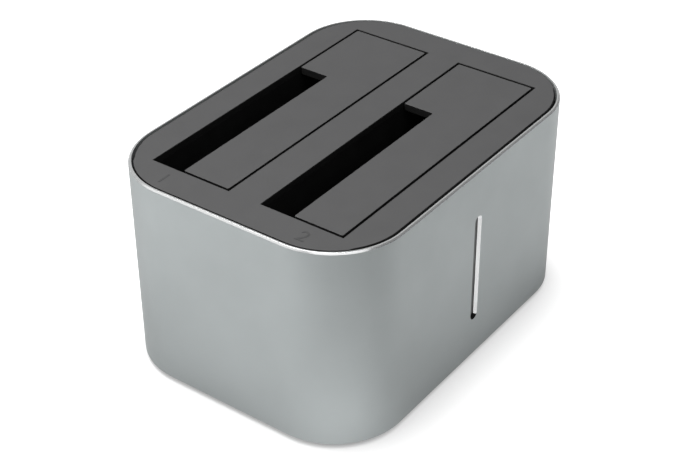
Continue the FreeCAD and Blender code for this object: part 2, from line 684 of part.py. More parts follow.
def main_board():
    """Board with cut corners that clear the sleeve's round ones."""
    board = box(-BOARD_X, BOARD_X, BOARD_FRONT, BOARD_REAR, BOARD_BOTTOM, BOARD_TOP)
    board = board.makeChamfer(BOARD_CORNER, edges_along(board, 2))
    return cut(board, [rod_z(x, y, BOARD_BOTTOM - SPARE, BOARD_TOP + SPARE, SCREW_HOLE_RADIUS)
                       for x, y in board_screw_places()])


def slot_spans():
    """X start and pin count of a socket's power and data slots."""
    return [(SOCKET_X + POWER_SLOT_START, POWER_PINS), (SOCKET_X + DATA_SLOT_START, DATA_PINS)]


def sata_socket(bay):
    """Tall upright socket with the two L-shaped blade slots."""
    y = socket_line(bay)
    body = block(SOCKET_X, y, BOARD_TOP, SOCKET_LENGTH, SOCKET_THICKNESS, SOCKET_TOP - BOARD_TOP)
    body = body.makeChamfer(SOCKET_EDGE_CUT, edges_at(body, SOCKET_TOP))
    bottom = SOCKET_TOP - BLADE_SLOT_DEPTH
    slots = []
    for x0, pins in slot_spans():
        x1 = x0 + (pins + 1) * PIN_PITCH
        slots.append(box(x0, x1, y - BLADE_SLOT / 2, y + BLADE_SLOT / 2, bottom, SOCKET_TOP + SPARE))
        slots.append(box(x0, x0 + BLADE_KEY_WIDTH, y - BLADE_SLOT / 2, y - BLADE_SLOT / 2 + BLADE_KEY,
                         bottom, SOCKET_TOP + SPARE))
    return cut(body, slots)


def sata_contacts(bay):
    """Row of upright contacts on the floor of each blade slot."""
    y = socket_line(bay) - BLADE_SLOT / 2 + CONTACT_THICKNESS / 2
    z = SOCKET_TOP - BLADE_SLOT_DEPTH
    contacts = []
    for x0, pins in slot_spans():
        for index in range(1, pins + 1):
            contacts.append(block(x0 + index * PIN_PITCH, y, z, CONTACT_WIDTH, CONTACT_THICKNESS,
                                  CONTACT_HEIGHT))
    return Part.makeCompound(contacts)


def bridge_chip():
    body = block(*CHIP_PLACE, BOARD_TOP, CHIP_SIZE, CHIP_SIZE, CHIP_HEIGHT)
    return body.makeChamfer(CHIP_EDGE_CUT, edges_at(body, BOARD_TOP + CHIP_HEIGHT))


def bridge_chip_leads():
    x, y = CHIP_PLACE
    reach = CHIP_SIZE / 2 + CHIP_LEAD_LENGTH / 2
    pitch = CHIP_SIZE / (CHIP_LEAD_COUNT + 1)
    leads = []
    for index in range(CHIP_LEAD_COUNT):
        offset = (index - (CHIP_LEAD_COUNT - 1) / 2) * pitch
        for side in (-1, 1):
            leads.append(block(x + side * reach, y + offset, BOARD_TOP, CHIP_LEAD_LENGTH,
                               CHIP_LEAD_WIDTH, CHIP_LEAD_HEIGHT))
            leads.append(block(x + offset, y + side * reach, BOARD_TOP, CHIP_LEAD_WIDTH,
                               CHIP_LEAD_LENGTH, CHIP_LEAD_HEIGHT))
    return Part.makeCompound(leads)


def capacitors():
    cans = []
    width = 2 * (CAPACITOR_RADIUS + CAPACITOR_FOOT_LIP)
    for x, y in CAPACITOR_PLACES:
        foot = block(x, y, BOARD_TOP, width, width, CAPACITOR_BASE)
        can = rod_z(x, y, BOARD_TOP + CAPACITOR_BASE, BOARD_TOP + CAPACITOR_HEIGHT, CAPACITOR_RADIUS)
        cans.append(foot.fuse(can))
    return Part.makeCompound(cans)


def inductors():
    coils = []
    for x, y in INDUCTOR_PLACES:
        coil = block(x, y, BOARD_TOP, INDUCTOR_SIZE, INDUCTOR_SIZE, INDUCTOR_HEIGHT)
        coils.append(coil.makeChamfer(INDUCTOR_CORNER_CUT, edges_along(coil, 2)))
    return Part.makeCompound(coils)


def crystal():
    x, y = CRYSTAL_PLACE
    can = block(x, y, BOARD_TOP, CRYSTAL_LENGTH, CRYSTAL_WIDTH, CRYSTAL_HEIGHT)
    return can.makeFillet(CRYSTAL_CORNER, edges_along(can, 2))


def chip_passives():
    x0, y0 = PASSIVE_START
    chips = []
    for index in range(PASSIVE_COUNT):
        row, column = divmod(index, PASSIVE_COLUMN_COUNT)
        chips.append(block(x0 + column * PASSIVE_PITCH, y0 - row * PASSIVE_PITCH, BOARD_TOP, *PASSIVE_SIZE))
    return Part.makeCompound(chips)


# ---------------------------------------------------------------- rear panel and what shows in it
def usb_z():
    return BOARD_TOP + USB_HEIGHT / 2


def rear_panel():
    """Plastic insert in the sleeve's rear opening, with a flange behind the wall."""
    plug = rounded_y(0, REAR_CUT_Z, REAR_CUT_WIDTH - 2 * REAR_PANEL_FIT, REAR_CUT_HEIGHT - 2 * REAR_PANEL_FIT,
                     REAR_CUT_RADIUS - REAR_PANEL_FIT, REAR_BACK, REAR_FACE)
    flange = rounded_y(0, REAR_CUT_Z, REAR_CUT_WIDTH + 2 * REAR_FLANGE_LIP,
                       REAR_CUT_HEIGHT + 2 * REAR_FLANGE_LIP, REAR_CUT_RADIUS + REAR_FLANGE_LIP,
                       REAR_BACK, INNER_Y)
    low = REAR_BACK - SPARE
    high = REAR_FACE + SPARE
    holes = [box(JACK_X - JACK_WIDTH / 2 - PORT_FIT, JACK_X + JACK_WIDTH / 2 + PORT_FIT, low, high,
                 BOARD_TOP - PORT_FIT, BOARD_TOP + JACK_HEIGHT + PORT_FIT),
             capsule_y(USB_X, usb_z(), USB_WIDTH + 2 * PORT_FIT, USB_HEIGHT + 2 * PORT_FIT, low, high),
             rod_y(POWER_X, BUTTON_Z, low, high, POWER_RADIUS + PORT_FIT),
             rod_y(CLONE_X, BUTTON_Z, low, high, CLONE_RADIUS + PORT_FIT)]
    return cut(fuse([plug, flange]), holes)


def dc_jack():
    """Square power inlet with a round barrel socket."""
    body = box(JACK_X - JACK_WIDTH / 2, JACK_X + JACK_WIDTH / 2, REAR_FACE - JACK_DEPTH,
               REAR_FACE - JACK_SETBACK, BOARD_TOP, BOARD_TOP + JACK_HEIGHT)
    bore = rod_y(JACK_X, BOARD_TOP + JACK_AXIS, REAR_FACE - JACK_BORE_DEPTH, REAR_FACE + SPARE,
                 JACK_BORE_RADIUS)
    return body.cut(bore)


def dc_jack_pin():
    return rod_y(JACK_X, BOARD_TOP + JACK_AXIS, REAR_FACE - JACK_BORE_DEPTH, REAR_FACE - JACK_PIN_SETBACK,
                 JACK_PIN_RADIUS)


def usb_c_shell():
    """Metal mouth of the USB-C socket, closed at the back by its moulded block."""
    back = REAR_FACE - USB_DEPTH
    outside = capsule_y(USB_X, usb_z(), USB_WIDTH, USB_HEIGHT, back, REAR_FACE - USB_SETBACK)
    inside = capsule_y(USB_X, usb_z(), USB_WIDTH - 2 * USB_WALL, USB_HEIGHT - 2 * USB_WALL,
                       back + USB_BACK, REAR_FACE + SPARE)
    return outside.cut(inside)


def usb_c_tongue():
    start = REAR_FACE - USB_DEPTH + USB_BACK
    return box(USB_X - USB_TONGUE_WIDTH / 2, USB_X + USB_TONGUE_WIDTH / 2, start,
               start + USB_TONGUE_LENGTH, usb_z() - USB_TONGUE_HEIGHT / 2, usb_z() + USB_TONGUE_HEIGHT / 2)


def button(x, radius, length):
    """Round cap with a retaining lip behind the panel and a stem into its switch."""
    head_front = REAR_FACE + BUTTON_PROUD
    profile = [(0, LIP_BACK - length), (STEM_RADIUS, LIP_BACK - length), (STEM_RADIUS, LIP_BACK),
               (radius + BUTTON_LIP, LIP_BACK), (radius + BUTTON_LIP, LIP_FRONT), (radius, LIP_FRONT),
               (radius, head_front - BUTTON_EDGE_CUT), (radius - BUTTON_EDGE_CUT, head_front), (0, head_front)]
    points = [Vector(x + r, y, BUTTON_Z) for r, y in profile]
    face = Part.Face(Part.makePolygon(points + points[:1]))
    return face.revolve(Vector(x, 0, BUTTON_Z), Vector(0, 1, 0), 360)


def switch(x, size, travel):
    """Switch body on the board; the button's stem slides in its bore."""
    width, depth = size
    front = LIP_BACK - travel - BUTTON_STOP_GAP
    body = box(x - width / 2, x + width / 2, front - depth, front, BOARD_TOP, BUTTON_Z + width / 2)
    return body.cut(rod_y(x, BUTTON_Z, front - depth + SWITCH_BACK_WALL, front + SPARE,
                          STEM_RADIUS + STEM_CLEARANCE))


# ---------------------------------------------------------------- light bar
def light_bar():
    """Smoked light guide: a narrow nose in the slot and a flange behind the wall."""
    length = LIGHT_LENGTH - 2 * LIGHT_BEVEL
    nose = capsule_y(LIGHT_X, LIGHT_Z, LIGHT_SLOT - 2 * LIGHT_FIT, length - 2 * LIGHT_FIT,
                     FRONT_FACE + LIGHT_SETBACK, LIGHT_BACK)
    flange = capsule_y(LIGHT_X, LIGHT_Z, LIGHT_SLOT + 2 * LIGHT_FLANGE_LIP, length + 2 * LIGHT_FLANGE_LIP,
                       -INNER_Y, LIGHT_BACK)
    return fuse([nose, flange])


def led_board():
    """Small board that stands in front of the main board and carries the LEDs."""
    return box(LIGHT_X - LED_BOARD_WIDTH / 2, LIGHT_X + LED_BOARD_WIDTH / 2, LED_BOARD_FRONT,
               LED_BOARD_BACK, BOARD_BOTTOM, LIGHT_Z + LIGHT_LENGTH / 2 + LED_BOARD_RISE)


def leds():
    """Row of LEDs behind the light guide."""
    pitch = LIGHT_LENGTH / (LED_COUNT + 1)
    middle = (LED_FRONT + LED_BOARD_FRONT) / 2
    chips = []
    for index in range(LED_COUNT):
        z = LIGHT_Z + (index - (LED_COUNT - 1) / 2) * pitch
        chips.append(block(LIGHT_X, middle, z - LED_SIZE / 2, LED_SIZE, LED_THICKNESS, LED_SIZE))
    return Part.makeCompound(chips)


def led_header():
    """Right-angle pin header from the main board to the LED board."""
    length = HEADER_PINS * HEADER_PITCH
    front = BOARD_FRONT + HEADER_SETBACK
    body = box(LIGHT_X - length / 2, LIGHT_X + length / 2, front, front + HEADER_BODY, BOARD_TOP,
               BOARD_TOP + HEADER_BODY)
    z = BOARD_TOP + HEADER_BODY / 2
    pins = []
    for index in range(HEADER_PINS):
        x = LIGHT_X + (index - (HEADER_PINS - 1) / 2) * HEADER_PITCH
        if abs(x - LIGHT_X) < LED_BOARD_WIDTH / 2:
            pins.append(box(x - HEADER_PIN / 2, x + HEADER_PIN / 2, LED_BOARD_BACK, front,
                            z - HEADER_PIN / 2, z + HEADER_PIN / 2))
    return fuse([body] + pins)


# ---------------------------------------------------------------- assembly
def pieces():
    """Every node of the assembly by name."""
    made = {"outer_shell": outer_shell(), "top_panel": top_panel(), "base_plate": base_plate(),
            "rubber_feet": rubber_feet(), "main_board": main_board(),
            "bridge_chip": bridge_chip(), "bridge_chip_leads": bridge_chip_leads(),
            "capacitors": capacitors(), "inductors": inductors(), "crystal": crystal(),
            "chip_passives": chip_passives(), "rear_panel": rear_panel(), "dc_jack": dc_jack(),
            "dc_jack_pin": dc_jack_pin(), "usb_c_shell": usb_c_shell(), "usb_c_tongue": usb_c_tongue(),
            "light_bar": light_bar(), "led_board": led_board(), "leds": leds(), "led_header": led_header()}
    for bay in BAY_FRONTS:
        made[f"drive_well_{bay}"] = drive_well(bay)
        made[f"flap_{bay}"] = flap(bay)
        made[f"hinge_pin_{bay}"] = hinge_pin(bay)
        made[f"flap_spring_{bay}"] = flap_spring(bay)
        made[f"sata_socket_{bay}"] = sata_socket(bay)
        made[f"sata_contacts_{bay}"] = sata_contacts(bay)
    made["power_button"] = button(POWER_X, POWER_RADIUS, POWER_STEM_LENGTH)
    made["power_switch"] = switch(POWER_X, POWER_SWITCH, POWER_TRAVEL)
    made["clone_button"] = button(CLONE_X, CLONE_RADIUS, CLONE_STEM_LENGTH)
    made["clone_switch"] = switch(CLONE_X, CLONE_SWITCH, CLONE_TRAVEL)
    base_seat = BASE_BOTTOM + COUNTERBORE_DEPTH
    ear_seat = EAR_TOP - EAR_THICKNESS
    made["base_screws"] = screws(screw_places(), base_seat, SCREW_LENGTH, True)
    made["well_screws"] = screws(ear_places(), ear_seat, WELL_SCREW_LENGTH, True)
    made["board_screws"] = screws(board_screw_places(), BOARD_TOP, BOARD_SCREW_LENGTH, False)
    return made


if __name__ == "__main__":
    os.makedirs("parts", exist_ok=True)
    for name, shape in pieces().items():
        shape.exportStep(f"parts/{name}.step")
        print(f"{name:20s} solids {len(shape.Solids):3d}  valid {shape.isValid()}  mm3 {shape.Volume:10.1f}")
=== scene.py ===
"""Dual-bay drive duplicator: finished surfaces and a plain studio round its construction model.

Metres, +Z up. X runs along the front face, which looks along -Y. Places come from the construction
model in model.glb.
"""
import math

import bmesh
import bpy
from mathutils import Matrix, Vector


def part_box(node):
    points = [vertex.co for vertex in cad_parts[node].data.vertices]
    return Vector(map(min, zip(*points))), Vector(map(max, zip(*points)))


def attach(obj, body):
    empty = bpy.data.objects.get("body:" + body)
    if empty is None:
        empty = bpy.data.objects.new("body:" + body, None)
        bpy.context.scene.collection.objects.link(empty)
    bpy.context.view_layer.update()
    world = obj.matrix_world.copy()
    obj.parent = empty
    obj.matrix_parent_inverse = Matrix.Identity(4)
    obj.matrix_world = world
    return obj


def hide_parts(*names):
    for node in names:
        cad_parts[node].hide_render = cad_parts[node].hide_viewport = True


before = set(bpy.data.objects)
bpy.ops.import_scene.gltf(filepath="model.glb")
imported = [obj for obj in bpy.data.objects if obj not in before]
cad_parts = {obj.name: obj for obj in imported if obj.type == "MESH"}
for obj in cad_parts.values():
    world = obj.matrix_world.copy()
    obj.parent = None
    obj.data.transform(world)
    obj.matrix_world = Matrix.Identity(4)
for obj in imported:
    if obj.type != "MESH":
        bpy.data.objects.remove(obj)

bl_info = {
    "name": "Drive Duplicator",
    "version": (1, 0, 0),
    "blender": (4, 5, 0),
    "location": "View3D > Sidebar > Duplicator",
    "description": "Dresses the construction model of a two-bay drive duplicator",
    "category": "Object",
}

MM = 0.001
X_AXIS, Y_AXIS, Z_AXIS = Vector((1, 0, 0)), Vector((0, 1, 0)), Vector((0, 0, 1))
MERGE_DISTANCE = 1e-6
FLAT_ANGLE = math.radians(0.5)
ARC_STEPS = 30
SENSOR_WIDTH = 36.0
WHITE = (1, 1, 1, 1)
BAYS = (1, 2)
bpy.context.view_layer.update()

# Limits for one part of a face's unit normal: under the first the face runs along that axis,
# over the second it looks along it, and between them it slopes.
SQUARE, ALONG = 0.4, 0.95


# ---------------------------------------------------------------- settings
def length_setting(name, description, default_mm):
    return bpy.props.FloatProperty(name=name, description=description, default=default_mm * MM,
                                   min=0.0, precision=5, unit="LENGTH")


def share_setting(name, description, default):
    return bpy.props.FloatProperty(name=name, description=description, default=default,
                                   min=0.0, max=1.0, subtype="FACTOR")


def colour_setting(name, description, default):
    return bpy.props.FloatVectorProperty(name=name, description=description, default=default,
                                         min=0.0, max=1.0, size=3, subtype="COLOR")


def number_setting(name, description, default, lowest=0.0):
    return bpy.props.FloatProperty(name=name, description=description, default=default,
                                   min=lowest)


def angle_setting(name, description, degrees):
    return bpy.props.FloatProperty(name=name, description=description,
                                   default=math.radians(degrees), subtype="ANGLE")


class SleeveSettings(bpy.types.PropertyGroup):
    edge_round: length_setting("Edge round", "Round on the sleeve's machined edges", 0.06)
    colour: colour_setting("Anodised colour", "Colour of the blasted and anodised wall",
                           (0.388, 0.414, 0.416))
    roughness: share_setting("Anodised roughness", "Roughness of the blasted wall", 0.46)
    grain: length_setting("Grain height", "Height of the blasted grain", 0.012)
    rim_chamfer: length_setting("Rim chamfer", "Width of the bright cut edge", 0.5)
    mouth: length_setting("Mouth", "How far the top of the inner wall stands back", 0.4)
    cut_colour: colour_setting("Cut colour", "Colour of the bright cut rim", (0.86, 0.87, 0.87))
    cut_roughness: share_setting("Cut roughness", "Roughness of the bright cut rim", 0.2)


class CoverSettings(bpy.types.PropertyGroup):
    edge_round: length_setting("Edge round", "Round on the moulded edges", 0.15)
    bay_corner: length_setting("Bay corner", "Corner radius of the bay openings", 0.7)
    flap_corner: length_setting("Flap corner", "Corner radius of the flaps", 0.45)
    colour: colour_setting("Cover colour", "Colour of the top panel and flaps",
                           (0.080, 0.080, 0.081))
    # Painted shade: the cover's and flaps' sides and undersides get this near-black, so that the
    # gaps between them read dark.
    edge_colour: colour_setting("Edge colour", "Colour of the mouldings under their top skin",
                                (0.006, 0.006, 0.006))
    rise: length_setting("Rise", "Lift that brings the top skin level with the rim", 0.2)
    lip: length_setting("Lip", "How far the top skin reaches past the panel's outline", 0.4)
    # Faces deeper than this under the top get the painted shade of the side colour.
    skin: length_setting("Skin", "Thickness of the grey top skin", 0.02)
    roughness: share_setting("Cover roughness", "Roughness of the satin moulding", 0.45)
    numeral_height: length_setting("Numeral height", "Height of the bay numerals", 5.0)
    numeral_relief: length_setting("Numeral relief", "How far the numerals stand proud", 0.06)
    numeral_shade: share_setting("Numeral shade", "Brightness of the numerals on the cover", 0.72)


class InsideSettings(bpy.types.PropertyGroup):
    colour: colour_setting("Well colour", "Colour of the drive wells", (0.008, 0.008, 0.008))
    board_colour: colour_setting("Board colour", "Colour of the solder mask", (0.01, 0.09, 0.04))
    spring_turns: bpy.props.IntProperty(name="Spring turns", description="Turns of a flap spring",
                                        default=4, min=1)


class BackSettings(bpy.types.PropertyGroup):
    colour: colour_setting("Plastic colour", "Colour of the rear panel and base",
                           (0.018, 0.018, 0.019))
    edge_round: length_setting("Edge round", "Round on the moulded edges", 0.2)
    dish: length_setting("Button dish", "Depth of the hollow in a button's face", 0.35)
    foot_round: length_setting("Foot round", "Round on a rubber foot's edge", 0.6)
    screw_round: length_setting("Screw round", "Round on the head of a base screw", 0.3)


class StageSettings(bpy.types.PropertyGroup):
    azimuth: angle_setting("Azimuth", "Camera angle round the object, 0 from the front", -53.95)
    elevation: angle_setting("Elevation", "Camera angle above the horizon", 34.49)
    roll: angle_setting("Roll", "Camera roll", -0.18)
    distance: length_setting("Distance", "Camera to target", 490.15)
    target: bpy.props.FloatVectorProperty(
        name="Target", description="Point that the camera looks at",
        default=(-0.00836, -0.00554, 0.0360), size=3, subtype="XYZ")
    lens: number_setting("Lens", "Focal length in millimetres on a 36 mm sensor", 80.25, 1.0)
    floor_white: number_setting("Floor white", "Glow that lifts the open floor to white", 0.75)
    floor_low: number_setting("Floor low", "Glow left right under the object", 0.17)
    shadow_reach: length_setting("Shadow reach", "Reach of the contact shadow round the base",
                                 28.0)
    floor_glow: number_setting("Floor glow", "Even glow of the floor in reflections", 0.12)
    back_light: number_setting("Back light", "Surround brightness behind the object", 0.39)
    lamp_power: number_setting("Lamp power", "Power of the overhead softbox in watts", 12.0)
    near_power: number_setting("Near power", "Power of the softbox over the near corner in watts",
                               4.5)
    left_power: number_setting("Left power", "Power of the softbox at the back left in watts", 1.5)


# Pools of light on the floor, as reflections see them: x, y and radius in mm, then strength.
FLOOR_POOLS = ((-90, 170, 120, 0.5), (-170, 110, 130, 0.66), (-260, 20, 260, 0.32),
               (-110, 0, 70, 0.37), (-62, -55, 70, 0.34), (-66, -52, 42, 0.30),
               (0, -60, 50, 0.12), (30, -95, 80, 0.29), (240, -120, 260, 0.53))
FLOOR_REACH = 4.0
FLOOR_DROP = 0.02 * MM

# Square softboxes: name, place and side in metres, then the setting that holds the power.
LAMPS = (("top_lamp", (0.0, 0.3, 1.2), 0.7, "lamp_power"),
         ("near_lamp", (-0.487, -0.487, 0.983), 1.2, "near_power"),
         ("left_lamp", (-0.68, 0.58, 0.80), 0.9, "left_power"))
LAMP_AIM = Vector((0.0, 0.0, 0.04))


# ---------------------------------------------------------------- materials
class Finish:
    """A node material with a surface shader and textures on object coordinates."""

    def __init__(self, name, colour, roughness, metallic=0.0):
        self.material = bpy.data.materials.new(name)
        self.material.use_nodes = True
        self.nodes = self.material.node_tree.nodes
        self.links = self.material.node_tree.links
        self.shader = self.nodes["Principled BSDF"]
        self.shader.inputs["Base Color"].default_value = (*colour, 1.0)
        self.shader.inputs["Roughness"].default_value = roughness
        self.shader.inputs["Metallic"].default_value = metallic
        self.place = self.nodes.new("ShaderNodeTexCoord").outputs["Object"]

    def noise(self, size, detail=2.0, stretch=None):
        """Noise whose blobs are about the given size in metres."""
        texture = self.nodes.new("ShaderNodeTexNoise")
        texture.inputs["Scale"].default_value = 1.0 / size
        texture.inputs["Detail"].default_value = detail
        source = self.place
        if stretch:
            mapping = self.nodes.new("ShaderNodeMapping")
            mapping.inputs["Scale"].default_value = stretch
            self.links.new(source, mapping.inputs["Vector"])
            source = mapping.outputs["Vector"]
        self.links.new(source, texture.inputs["Vector"])
        return texture.outputs["Fac"]

    def between(self, value, low, high):
        """A 0.3 to 0.7 texture value stretched over a range."""
        remap = self.nodes.new("ShaderNodeMapRange")
        remap.inputs["From Min"].default_value = 0.3
        remap.inputs["From Max"].default_value = 0.7
        remap.inputs["To Min"].default_value = low
        remap.inputs["To Max"].default_value = high
        self.links.new(value, remap.inputs["Value"])
        return remap.outputs["Result"]

    def tone(self, size, low, high, detail=3.0):
        """Varies the base colour between two shades."""
        colour = Vector(self.shader.inputs["Base Color"].default_value[:3])
        mix = self.nodes.new("ShaderNodeMix")
        mix.data_type = "RGBA"
        mix.inputs["A"].default_value = (*(colour * low), 1.0)
        mix.inputs["B"].default_value = (*(colour * high), 1.0)
        self.links.new(self.between(self.noise(size, detail), 0.0, 1.0), mix.inputs["Factor"])
        self.links.new(mix.outputs["Result"], self.shader.inputs["Base Color"])
        return self

    def sheen_patches(self, size, spread, stretch=None):
        """Varies the roughness round its value."""
        middle = self.shader.inputs["Roughness"].default_value
        patches = self.between(self.noise(size, 3.0, stretch), middle - spread, middle + spread)
        self.links.new(patches, self.shader.inputs["Roughness"])
        return self

    def relief(self, size, height, detail=2.0, stretch=None):
        """Fine relief of the given grain size and height."""
        bump = self.nodes.new("ShaderNodeBump")
        bump.inputs["Distance"].default_value = height
        bump.inputs["Strength"].default_value = 1.0
        self.links.new(self.noise(size, detail, stretch), bump.inputs["Height"])
        self.links.new(bump.outputs["Normal"], self.shader.inputs["Normal"])
        return self


def anodised(settings):
    made = Finish("anodised_aluminium", settings.colour, settings.roughness, 1.0)
    made.tone(0.012, 0.985, 1.015).sheen_patches(0.02, 0.02)
    return made.relief(0.18 * MM, settings.grain, 1.0).material


def cut_aluminium(settings):
    made = Finish("cut_aluminium", settings.cut_colour, settings.cut_roughness, 0.75)
    return made.sheen_patches(0.3 * MM, 0.05).relief(0.08 * MM, 0.001 * MM).material


# Painted highlight: a whiter copy of the rim's cut aluminium, given to the sideways faces of the
# slot's bevel.
def slot_bevel():
    made = Finish("slot_bevel", (0.97, 0.98, 0.98), 0.2, 0.75)
    return made.relief(0.08 * MM, 0.001 * MM).material


# Painted shade: near-black metal on the slot's inner walls and its upward-facing lower bevel,
# where the recess is in shade.
def slot_shade():
    made = Finish("slot_shade", (0.02, 0.021, 0.021), 0.6, 1.0)
    return made.relief(0.2 * MM, 0.004 * MM).material


def sleeve_inside():
    made = Finish("sleeve_inside", (0.42, 0.44, 0.44), 0.6)
    return made.tone(0.01, 0.97, 1.03).relief(0.2 * MM, 0.006 * MM).material


def satin_moulding(name, colour, roughness):
    made = Finish(name, colour, roughness)
    made.tone(0.01, 0.97, 1.03).sheen_patches(0.006, 0.03)
    return made.relief(0.22 * MM, 0.006 * MM, 1.5).material


def black_moulding(name, colour, roughness=0.55):
    made = Finish(name, colour, roughness)
    made.tone(0.008, 0.85, 1.15).sheen_patches(0.004, 0.05)
    return made.relief(0.3 * MM, 0.01 * MM).material


def steel(name, colour, roughness, along=None):
    made = Finish(name, colour, roughness, 1.0)
    made.sheen_patches(0.5 * MM, 0.06, along)
    return made.relief(0.1 * MM, 0.0015 * MM, 1.0, along).material


def rubber():
    made = Finish("foot_rubber", (0.015, 0.015, 0.015), 0.85)
    return made.tone(0.002, 0.8, 1.2).relief(0.25 * MM, 0.02 * MM).material


def smoked_plastic():
    made = Finish("smoked_plastic", (0.008, 0.009, 0.01), 0.3)
    return made.tone(0.004, 0.9, 1.1).relief(1.5 * MM, 0.004 * MM).material


def solder_mask(colour):
    made = Finish("board_green", colour, 0.35)
    return made.tone(0.5 * MM, 0.6, 1.2, 0.0).relief(0.6 * MM, 0.02 * MM, 0.0).material


def plain(name, colour, roughness, metallic=0.0):
    """Finish of a small inner part: slight colour change and a fine grain."""
    made = Finish(name, colour, roughness, metallic)
    return made.tone(0.001, 0.92, 1.08).relief(0.2 * MM, 0.003 * MM).material


# ---------------------------------------------------------------- mesh helpers
def copied(node):
    """The merged mesh of a construction node, with its flat faces joined up."""
    bm = bmesh.new()
    bm.from_mesh(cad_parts[node].data)
    bmesh.ops.remove_doubles(bm, verts=bm.verts[:], dist=MERGE_DISTANCE)
    bmesh.ops.dissolve_limit(bm, angle_limit=FLAT_ANGLE, verts=bm.verts[:], edges=bm.edges[:])
    for face in bm.faces:
        face.material_index = 0
    return bm


def upright_edges(bm, places, reach):
    """Upright edges within reach of the given x and y places."""
    found = []
    for edge in bm.edges:
        start, end = (v.co for v in edge.verts)
        if (start - end).xy.length < MERGE_DISTANCE and (start - end).length > MERGE_DISTANCE:
            if any((start.xy - Vector(place)).length < reach for place in places):
                found.append(edge)
    return found


def round_edges(bm, edges, radius, segments):
    """Turns edges into rounds of the given radius."""
    bmesh.ops.bevel(bm, geom=edges, offset=radius, offset_type="OFFSET", segments=segments,
                    profile=0.5, affect="EDGES", clamp_overlap=True, material=-1)


def soften(bm, radius, angle=30.0, segments=2):
    """Rounds every edge that is sharper than the given angle in degrees."""
    limit = math.radians(angle)
    sharp = [e for e in bm.edges if len(e.link_faces) == 2 and e.calc_face_angle() > limit]
    round_edges(bm, sharp, radius, segments)


def top_verts(bm):
    """Vertices of the flat top of a piece."""
    top = max(v.co.z for v in bm.verts)
    return [v for v in bm.verts if v.co.z > top - MERGE_DISTANCE]


def raise_top(bm, rise):
    """Lifts the flat top of a moulding by a little."""
    for vert in top_verts(bm):
        vert.co.z += rise


def is_slope(face):
    """Whether a face looks up at a slant."""
    return SQUARE < face.normal.z < ALONG


def spread(verts, reach):
    """Moves vertices along the facing of the upright walls that they belong to."""
    for vert in verts:
        walls = [face.normal.xy for face in vert.link_faces if abs(face.normal.z) < SQUARE]
        vert.co.xy += sum(walls, Vector((0, 0))).normalized() * reach


def blacken_below(bm, skin):
    """Gives the second material, the painted shade, to every face whose middle lies deeper than
    skin below the top.
    """
    top = max(v.co.z for v in bm.verts)
    for face in bm.faces:
        face.material_index = 1 if face.calc_center_median().z < top - skin else 0


def piece(bm, name, materials, body, nodes=(), smooth_angle=30.0):
    """Turns a bmesh into a finished piece that rides on a body and replaces nodes."""
    for face in bm.faces:
        face.smooth = True
    mesh = bpy.data.meshes.new(name)
    bm.to_mesh(mesh)
    bm.free()
    for material in materials:
        mesh.materials.append(material)
    mesh.set_sharp_from_angle(angle=math.radians(smooth_angle))
    made = bpy.data.objects.new(name, mesh)
    bpy.context.scene.collection.objects.link(made)
    weighted = made.modifiers.new("Even shading", "WEIGHTED_NORMAL")
    weighted.keep_sharp = True
    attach(made, body)
    if nodes:
        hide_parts(*nodes)
    return made


def dress(material, *nodes):
    """Gives construction nodes that stay in view their material."""
    for node in nodes:
        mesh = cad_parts[node].data
        mesh.materials.clear()
        mesh.materials.append(material)


def spun(bm, profile, centre, axis, segments=48):
    """Turns an open profile of points once round an axis."""
    verts = [bm.verts.new(point) for point in profile]
    edges = [bm.edges.new(pair) for pair in zip(verts, verts[1:])]
    bmesh.ops.spin(bm, geom=verts + edges, cent=centre, axis=axis, angle=2 * math.pi,
                   steps=segments, use_merge=True, use_duplicate=False)
    bmesh.ops.remove_doubles(bm, verts=bm.verts[:], dist=MERGE_DISTANCE)


def stroke(bm, start, end, width, back, front):
    """Straight bar between two points given as x and z, raised along y from back to front."""
    middle, way = (start + end) / 2, end - start
    size = Matrix.Diagonal((way.length + width, front - back, width, 1.0))
    turn = Matrix.Rotation(-math.atan2(way.y, way.x), 4, "Y")
    place = Matrix.Translation((middle.x, (back + front) / 2, middle.y))
    bmesh.ops.create_cube(bm, size=1.0, matrix=place @ turn @ size)


def arc(bm, centre, radius, gap, width, back, front):
    """Open ring round a point given as x and z, with a gap of the given angle at its top."""
    middle = Vector((centre.x, (back + front) / 2, centre.y))
    size = Matrix.Diagonal((front - back, width, 1.0, 1.0))
    upright = Matrix.Rotation(math.pi / 2, 4, "Z") @ Matrix.Rotation(math.pi / 2, 4, "X")
    place = Matrix.Translation(middle + Vector((0, 0, radius))) @ upright @ size
    made = bmesh.ops.create_grid(bm, x_segments=1, y_segments=1, size=0.5, matrix=place)
    face = made["verts"][0].link_faces[0]
    bmesh.ops.rotate(bm, cent=middle, matrix=Matrix.Rotation(gap / 2, 3, "Y"), verts=face.verts[:])
    bmesh.ops.spin(bm, geom=[*face.verts, *face.edges, face], cent=middle, axis=Y_AXIS,
                   angle=2 * math.pi - gap, steps=ARC_STEPS, use_merge=False, use_duplicate=False)


def islands(node):
    """Vertex places of each separate solid in a construction node."""
    bm = copied(node)
    left = set(bm.verts)
    found = []
    while left:
        reached = [left.pop()]
        for vert in reached:
            for edge in vert.link_edges:
                other = edge.other_vert(vert)
                if other in left:
                    left.remove(other)
                    reached.append(other)
        found.append([v.co.copy() for v in reached])
    bm.free()
    return found


def middle_of(points):
    """Middle of the box round some points."""
    return Vector([(min(p[i] for p in points) + max(p[i] for p in points)) / 2 for i in range(3)])


def join(bm, part):
    """Adds a finished part to a bmesh and frees it."""
    mesh = bpy.data.meshes.new("part")
    part.to_mesh(mesh)
    part.free()
    bm.from_mesh(mesh)
    bpy.data.meshes.remove(mesh)


